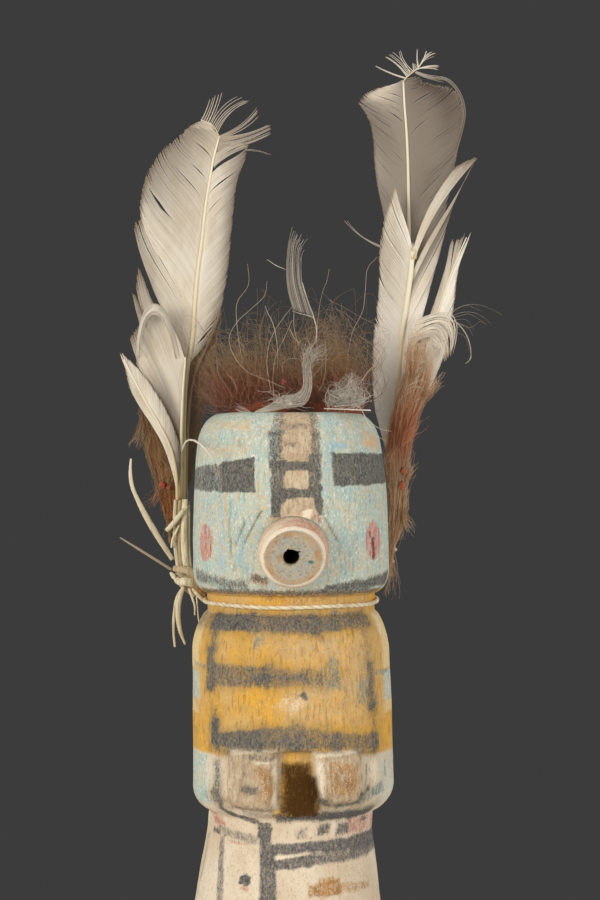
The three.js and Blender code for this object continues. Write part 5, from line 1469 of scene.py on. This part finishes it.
def between(left, right, count, rings, seed, fray=1.0, trim=0.25, thick=0.06, shade=0.0, **values):
    """Strands spread evenly between two smooth edges. Each ends a little short of the edges'
    ends, by up to trim, and strays by fray near its free end. Shade below 0 is darker."""
    random = np.random.default_rng(seed)

    def edge(knots, share):
        knots = np.array(knots, float)
        reach = np.concatenate([[0], np.cumsum(np.linalg.norm(np.diff(knots, axis=0), axis=1))])
        return smooth_line(np.column_stack([reach / reach[-1], knots]), share)

    share = np.linspace(0, 1, rings)[None] * (1 - random.uniform(0, trim, (count, 1)))
    across = np.linspace(0, 1, count)[:, None, None]
    path = edge(left, share) * (1 - across) + edge(right, share) * across
    sway = random.normal(0, 1, (count, 1, 3)) * share[..., None] ** 3 * fray
    path = path + sway + random.normal(0, 0.12, (count, 1, 3))
    wide = thick * np.linspace(1, 0.5, rings)[None] * random.uniform(0.7, 1.3, (count, 1))
    return tubes(path, wide, sides=4, tone=random.normal(0, 1, count) + shade, **values)


standing_plume = joined([
    between([(0.6, -5, 245.9), (-0.7, -5, 250.4), (-1.3, -5, 254.7), (-1.3, -5, 259.5), (-0.6, -5, 265.4),
            (1, -5, 271.4)],
        [(6.4, -5.4, 243.8), (5, -5.2, 248.3), (3.2, -5, 253.9), (2.9, -5, 258.7), (3.2, -5, 263.4),
            (5.3, -5, 266.2)],
        count=34, rings=16, seed=91, fray=0.35, trim=0.22, thick=0.13, shade=-2.2),
    thread([(7.4, -6.4, 236), (7.6, -6, 240), (6.7, -5.4, 243.6), (5, -5.2, 248.3), (3.3, -5, 253.9)],
        (0.16, 0.2, 0.16)),
    thread([(0.4, -5.1, 245.4), (2.6, -5.2, 244.6), (5, -5.3, 244), (6.9, -5.4, 243.3)], (0.06, 0.14)),
    thread([(2.3, -6, 235), (1, -5.6, 240), (0.9, -5.2, 246)], (0.06, 0.06)),
    thread([(-7.1, -5, 260.7), (-4.4, -5, 258.9), (-1.6, -5, 257.7)], (0.06, 0.12, 0.06)),
    thread([(-7.7, -6, 246.8), (-6.8, -6, 244.6), (-5.6, -6, 242.2), (-4, -5, 234), (-4.4, -4, 224)],
        (0.05, 0.1, 0.06, 0.04)),
])
centre_edges = (
    [(-10.6, -14.2, 215.3), (-6.4, -14.6, 217.2), (-2.4, -15, 219.9), (1.6, -15, 220.6),
        (3.4, -14.6, 222.6), (3.5, -14.4, 226), (3.3, -14.2, 229.4), (4.6, -14, 232.8), (7.4, -13.8, 235.4),
        (9.4, -13.6, 236.4)],
    [(-9.9, -14.4, 214.9), (-5, -14.8, 215.6), (-0.6, -15.2, 216.6), (4, -15, 217.4), (5.9, -14.6, 221.4),
        (6.1, -14.4, 225.6), (5.6, -14.2, 228.8), (6.6, -14, 231.4), (9.4, -13.8, 232.6),
        (12.4, -13.6, 233.2)],
)
centre_random = np.random.default_rng(92)
centre_plume = joined([
    between(*centre_edges, count=22, rings=22, seed=93, fray=0.6, trim=0.3, thick=0.07),
    between(*centre_edges, count=20, rings=22, seed=94, fray=1.1, trim=0.5, thick=0.05),
    lump_of((-1.4, -14.6, 217.9), (2.6, 0.9, 1.1), seed=95, rough=0.5, tone=1),
    hairs(centre_random.normal((-1.2, -15.2, 218), (1.8, 0.4, 0.7), (110, 3)),
        centre_random.normal((-1.8, -15.6, 218.4), (3.2, 0.8, 1.5), (110, 3)), 0.7, 0.5, 0.06,
        centre_random),
    hairs(centre_random.normal((4.4, -14.4, 229), (0.6, 0.3, 2.4), (70, 3)),
        centre_random.normal((7.4, -14, 233), (2.6, 0.8, 2.2), (70, 3)), 0.7, 0.5, 0.05, centre_random),
    between([(-12, -12, 215.2), (-13.5, -12.2, 216.2), (-17.3, -12.6, 218.2)],
        [(-11.6, -12, 214.9), (-13.2, -12.2, 214.9), (-16.3, -12.6, 214.2)], count=9, rings=8, seed=96,
        fray=0.5, trim=0.3, thick=0.08),
    thread([(-14.5, -12, 214.9), (-10, -13.4, 215), (-6, -14.4, 215.4), (-2, -15, 216.2)],
        (0.1, 0.14, 0.1)),
])
pad_random = np.random.default_rng(97)
arc = pad_random.uniform(0.0, 1.0, 110)[:, None]
pad_edge = smooth_line([[0, 11.4, 217.6], [0.2, 12.4, 221.0], [0.45, 15.2, 224.6], [0.62, 18.6, 226.6],
                        [0.8, 20.6, 223.6], [0.92, 21.8, 220.0], [1, 22.0, 217.2]], arc[:, 0])
pad_tip = np.stack([pad_edge[:, 0], pad_random.normal(-14.2, 0.7, 110), pad_edge[:, 1]], axis=-1)
pad_tip = pad_tip + pad_random.normal(0, 0.4, (110, 3))
right_pad = joined([
    hairs(pad_random.normal((13.2, -14, 217.6), (1.8, 0.7, 0.7), (110, 3)), pad_tip, 1.1, 0.7, 0.075,
        pad_random, rings=12),
    hairs(pad_random.normal((18.7, -14.6, 218.6), (2.2, 0.7, 1), (110, 3)),
        pad_random.normal((17.8, -14.8, 220.2), (2.8, 0.8, 2.2), (110, 3)), 1.6, 0.8, 0.07, pad_random,
        rings=12),
    lump_of((17.2, -13.6, 219.4), (3.4, 1.1, 2), seed=98, rough=0.5, tone=-0.6),
    thread([(9.7, -15.2, 216.1), (15.9, -15.6, 215.9), (23.4, -15, 215.6)], (0.13, 0.2, 0.24), tone=1.5),
    thread([(18.6, -15.2, 217.6), (20.5, -15.8, 216), (22, -15.9, 212.9), (24.9, -14.6, 208.3),
            (28, -13, 206.7)],
        (0.07, 0.08, 0.05), tone=1),
    thread([(20.5, -14.5, 223.6), (22.6, -13, 227), (25.4, -11, 229.6)], (0.07, 0.05), tone=1),
    thread([(23, -14.8, 212.4), (25.8, -13.6, 210.4), (29.6, -12, 209.4)], (0.07, 0.05), tone=1),
])
down_look, tree, output = new_material("down")
downy = shaded(tree, reading(tree, "tone"), -3.0, 1.5, "7d7264", "cfc4b2")
finish_material(tree, output, {"Base Color": downy, "Roughness": 0.8, "Sheen Weight": 0.3})
for name, (points, faces, values), node in (
        ("standing_plume", standing_plume, "down_plume_standing"),
        ("centre_plume", centre_plume, "down_plume_centre"), ("right_pad", right_pad, "down_plume_right")):
    plume = new_mesh(name, points, faces, values, down_look)
    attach(plume, "root")
    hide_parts(node)

# ---- the bindings
# Each bundle of feathers is whipped with split quill and tied on with a knotted cord.
# On the left the strands run down to a lump of knots with frayed ends.

left_strands = [
    ([(-34.7, 2.2, 189), (-34.9, 2, 182.9), (-34.8, 1.8, 175.4), (-34, 1.6, 168.6)],
        (0.62, 0.66, 0.6), 0.1),
    ([(-33.4, 1.7, 189), (-33.6, 1.4, 182.9), (-33.5, 1.3, 175.4), (-32.9, 1.2, 168)],
        (0.6, 0.66, 0.6), 0.75),
    ([(-31.9, 1.6, 189.2), (-32.1, 1.2, 182.9), (-32.1, 1.1, 175.4), (-31.4, 1, 167.6)],
        (0.85, 1.05, 0.9), 0),
    ([(-30.8, 2.2, 187.5), (-30.8, 1.9, 181.4), (-30.8, 1.8, 175.4), (-30.2, 1.4, 168)],
        (0.45, 0.5, 0.5), 0.5),
    ([(-33, 4.6, 189.4), (-33.1, 4.6, 180), (-33, 4.4, 172), (-32.2, 3.4, 167)], (1.9, 2, 1.7), 0.9),
    ([(-34.6, 5.6, 188.4), (-34.8, 5.6, 178), (-34, 5, 168)], (0.8, 0.8, 0.7), 0.6),
    ([(-31.4, 5.6, 188.4), (-31.4, 5.6, 178), (-31, 5, 168)], (0.8, 0.8, 0.7), 0.5),
    ([(-31.2, 0.8, 187.2), (-33.3, -0.2, 184.6), (-35.4, -0.2, 181.9), (-37.4, 0.6, 179.8)],
        (0.5, 0.75, 0.7), 0.05),
    ([(-33.6, 0.6, 181.4), (-34.6, 0.3, 179.1), (-35.5, 0.3, 177.3), (-35.9, 0.6, 174.7)],
        (0.28, 0.36, 0.3), 0.1),
    ([(-34.2, 0.8, 180.6), (-35, 0.4, 178.1), (-34.9, 0.6, 175.4)], (0.2, 0.24, 0.2), 0.3),
    # the knot, cord over cord
    ([(-35.2, 1.6, 168.4), (-33.4, 0.2, 168.2), (-31.2, 0, 167.9), (-28.8, 0.8, 166.4),
            (-28.2, 2.4, 165.4)],
        (0.9, 1.35, 1.2), 0.55),
    ([(-34.6, 1.6, 165.6), (-33.4, -0.4, 164.6), (-31.7, -0.9, 164.6), (-29.9, -0.3, 164.2),
            (-29.2, 1.4, 164)],
        (0.9, 1.3, 1.3), 0),
    ([(-31.4, 2.6, 166.6), (-30.2, 0.6, 165.4), (-28.5, 0.2, 164.5), (-27.2, 1, 162.6),
            (-27.4, 2.2, 161.4)],
        (1, 1.35, 1), 0.85),
    ([(-29.8, 1.4, 164.6), (-28.5, 0.2, 163.2), (-27.3, 0.4, 162), (-26, 1.2, 160.4)], (0.7, 0.95, 0.8), 1),
    ([(-29.6, 1, 162.4), (-28.5, 0, 161.2), (-27.2, 0.4, 159.8), (-25.9, 1.2, 158.5)],
        (0.5, 0.62, 0.6), 0.15),
    ([(-36.2, 1, 167.2), (-35.2, 0.4, 166), (-34.3, 0.8, 164.9)], (0.42, 0.8, 0.5), 0),
    ([(-33.6, 2.4, 167.4), (-32.4, 2.2, 164.6), (-30.6, 2.2, 162.4), (-28.6, 2.2, 160.4)],
        (1.7, 1.9, 1), 0.5),
    # the ends that hang out of the knot
    ([(-32, 0.8, 163.2), (-34.1, 0.6, 159.8), (-35, 0.8, 155.3), (-35.3, 1, 149), (-34.9, 1, 144.8)],
        (0.55, 0.52, 0.4, 0.3), 0.15),
    ([(-32.2, 0.2, 163.2), (-33.6, -0.2, 158.6), (-33.9, 0, 155.4), (-33.1, 0.4, 149.1),
            (-31.8, 0.6, 145.6)],
        (0.6, 0.85, 0.7, 0.3), 0.3),
    ([(-30.6, 0.4, 162.4), (-29.6, 0, 159.6), (-28.9, 0.2, 157.2), (-28.9, 0.4, 154.4)],
        (0.4, 0.34, 0.22), 0.1),
    ([(-28.4, 0.6, 160), (-28.1, 0.2, 157.2), (-27.9, 0.2, 154.4), (-27.3, 0.4, 149.8)],
        (0.22, 0.2, 0.14), 0.05),
]
right_strands = [
    ([(31.8, 12.6, 182.6), (31.2, 12.4, 176), (30, 12.6, 170), (27.8, 13.2, 165), (25, 14.2, 161.6),
            (22.2, 15.8, 159.6)],
        (0.9, 0.9, 0.9, 0.8, 0.6), 0.4),
    ([(30.4, 13.2, 182.4), (29.8, 13, 176), (28.8, 13.2, 170), (26.8, 13.8, 165), (24.4, 14.6, 162)],
        (0.9, 0.9, 0.9, 0.8, 0.5), 0.6),
    ([(31.2, 14.6, 182.6), (30.8, 14.4, 176), (29.6, 14.6, 170), (27.4, 15, 165.4), (24.8, 15.8, 162.2),
            (22.4, 16.6, 160.2)],
        (1, 1, 1, 0.9, 0.5), 0.8),
    ([(29.4, 12.2, 176.4), (30.6, 11.8, 174.8), (32.2, 12.4, 173.2)], (0.5, 0.6, 0.5), 0.2),
    ([(28.6, 12.4, 172.4), (30, 12, 171), (31.4, 12.6, 169.6)], (0.5, 0.6, 0.5), 0.3),
    ([(26, 13.2, 166.8), (27.8, 12.6, 165.4), (29.4, 13.6, 164.6)], (0.6, 0.8, 0.6), 0.5),
]
cord_look, tree, output = new_material("binding_cord")
cord_grain = noise(tree, (1500, 1500, 160), 3.0, 0.6)
cord = blend_colours(tree, reading(tree, "age"), "dfd2b0", "8f6f3a")
cord = shaded(tree, cord_grain, 0.45, 0.7, cord, "96794c", 0.6)
cord = shaded(tree, cord_grain, 0.42, 0.28, cord, "f0e8d2", 0.5)
cord_bump = add_node(tree, "Bump", {"Height": cord_grain, "Strength": 0.6, "Distance": 0.0004})
finish_material(tree, output, {"Base Color": cord, "Roughness": 0.6, "Specular IOR Level": 0.4,
    "Normal": cord_bump.outputs[0]})
for name, strands, node in (("left_whipping", left_strands, "left_binding"),
                            ("right_whipping", right_strands, "right_binding")):
    whipping = new_mesh(name, *joined([thread(knots, thick, sides=12, rings=44, flat=0.7, age=age)
                                       for knots, thick, age in strands]), cord_look)
    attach(whipping, "root")
    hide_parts(node)

# ---- the loose strips
# Two thin strips of split quill, left over from the whipping of the left bundle. They are
# caught in the binding and stick out of it to the left.

strip_look, tree, output = new_material("quill_strip")
strip = blend_colours(tree, reading(tree, "along"), "d9cdb2", "c7b593")
strip = blend_colours(tree, reading(tree, "age"), strip, "8d7a62")
strip = shaded(tree, noise(tree, (900, 900, 200), 3.0), 0.5, 0.7, strip, "94825f", 0.5)
finish_material(tree, output, {"Base Color": strip, "Roughness": 0.5, "Specular IOR Level": 0.45})
loose_strip_rows = [
    ("long_quill_strip",
        [(-48.1, 1, 201.4), (-48.3, 1, 198), (-47.9, 1.1, 193.8), (-45.4, 1.3, 187.6), (-41.8, 1.5, 180.9),
            (-38.5, 1.6, 175.5), (-35.6, 1.8, 171)],
        (0.28, 0.6, 0.62, 0.85, 0.95, 0.85, 0.7), 0, "long_strip"),
    ("short_quill_strip", [(-51.4, 1, 177.7), (-46.9, 1.1, 174.9), (-42.4, 1.3, 172.1), (-35.9, 1.6, 168)],
        (0.16, 0.36, 0.42, 0.45), 0.8, "short_strip"),
]
for name, knots, thick, age, node in loose_strip_rows:
    strip_piece = new_mesh(name, *thread(knots, thick, sides=8, rings=60, flat=0.28, age=age), strip_look)
    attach(strip_piece, "root")
    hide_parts(node)
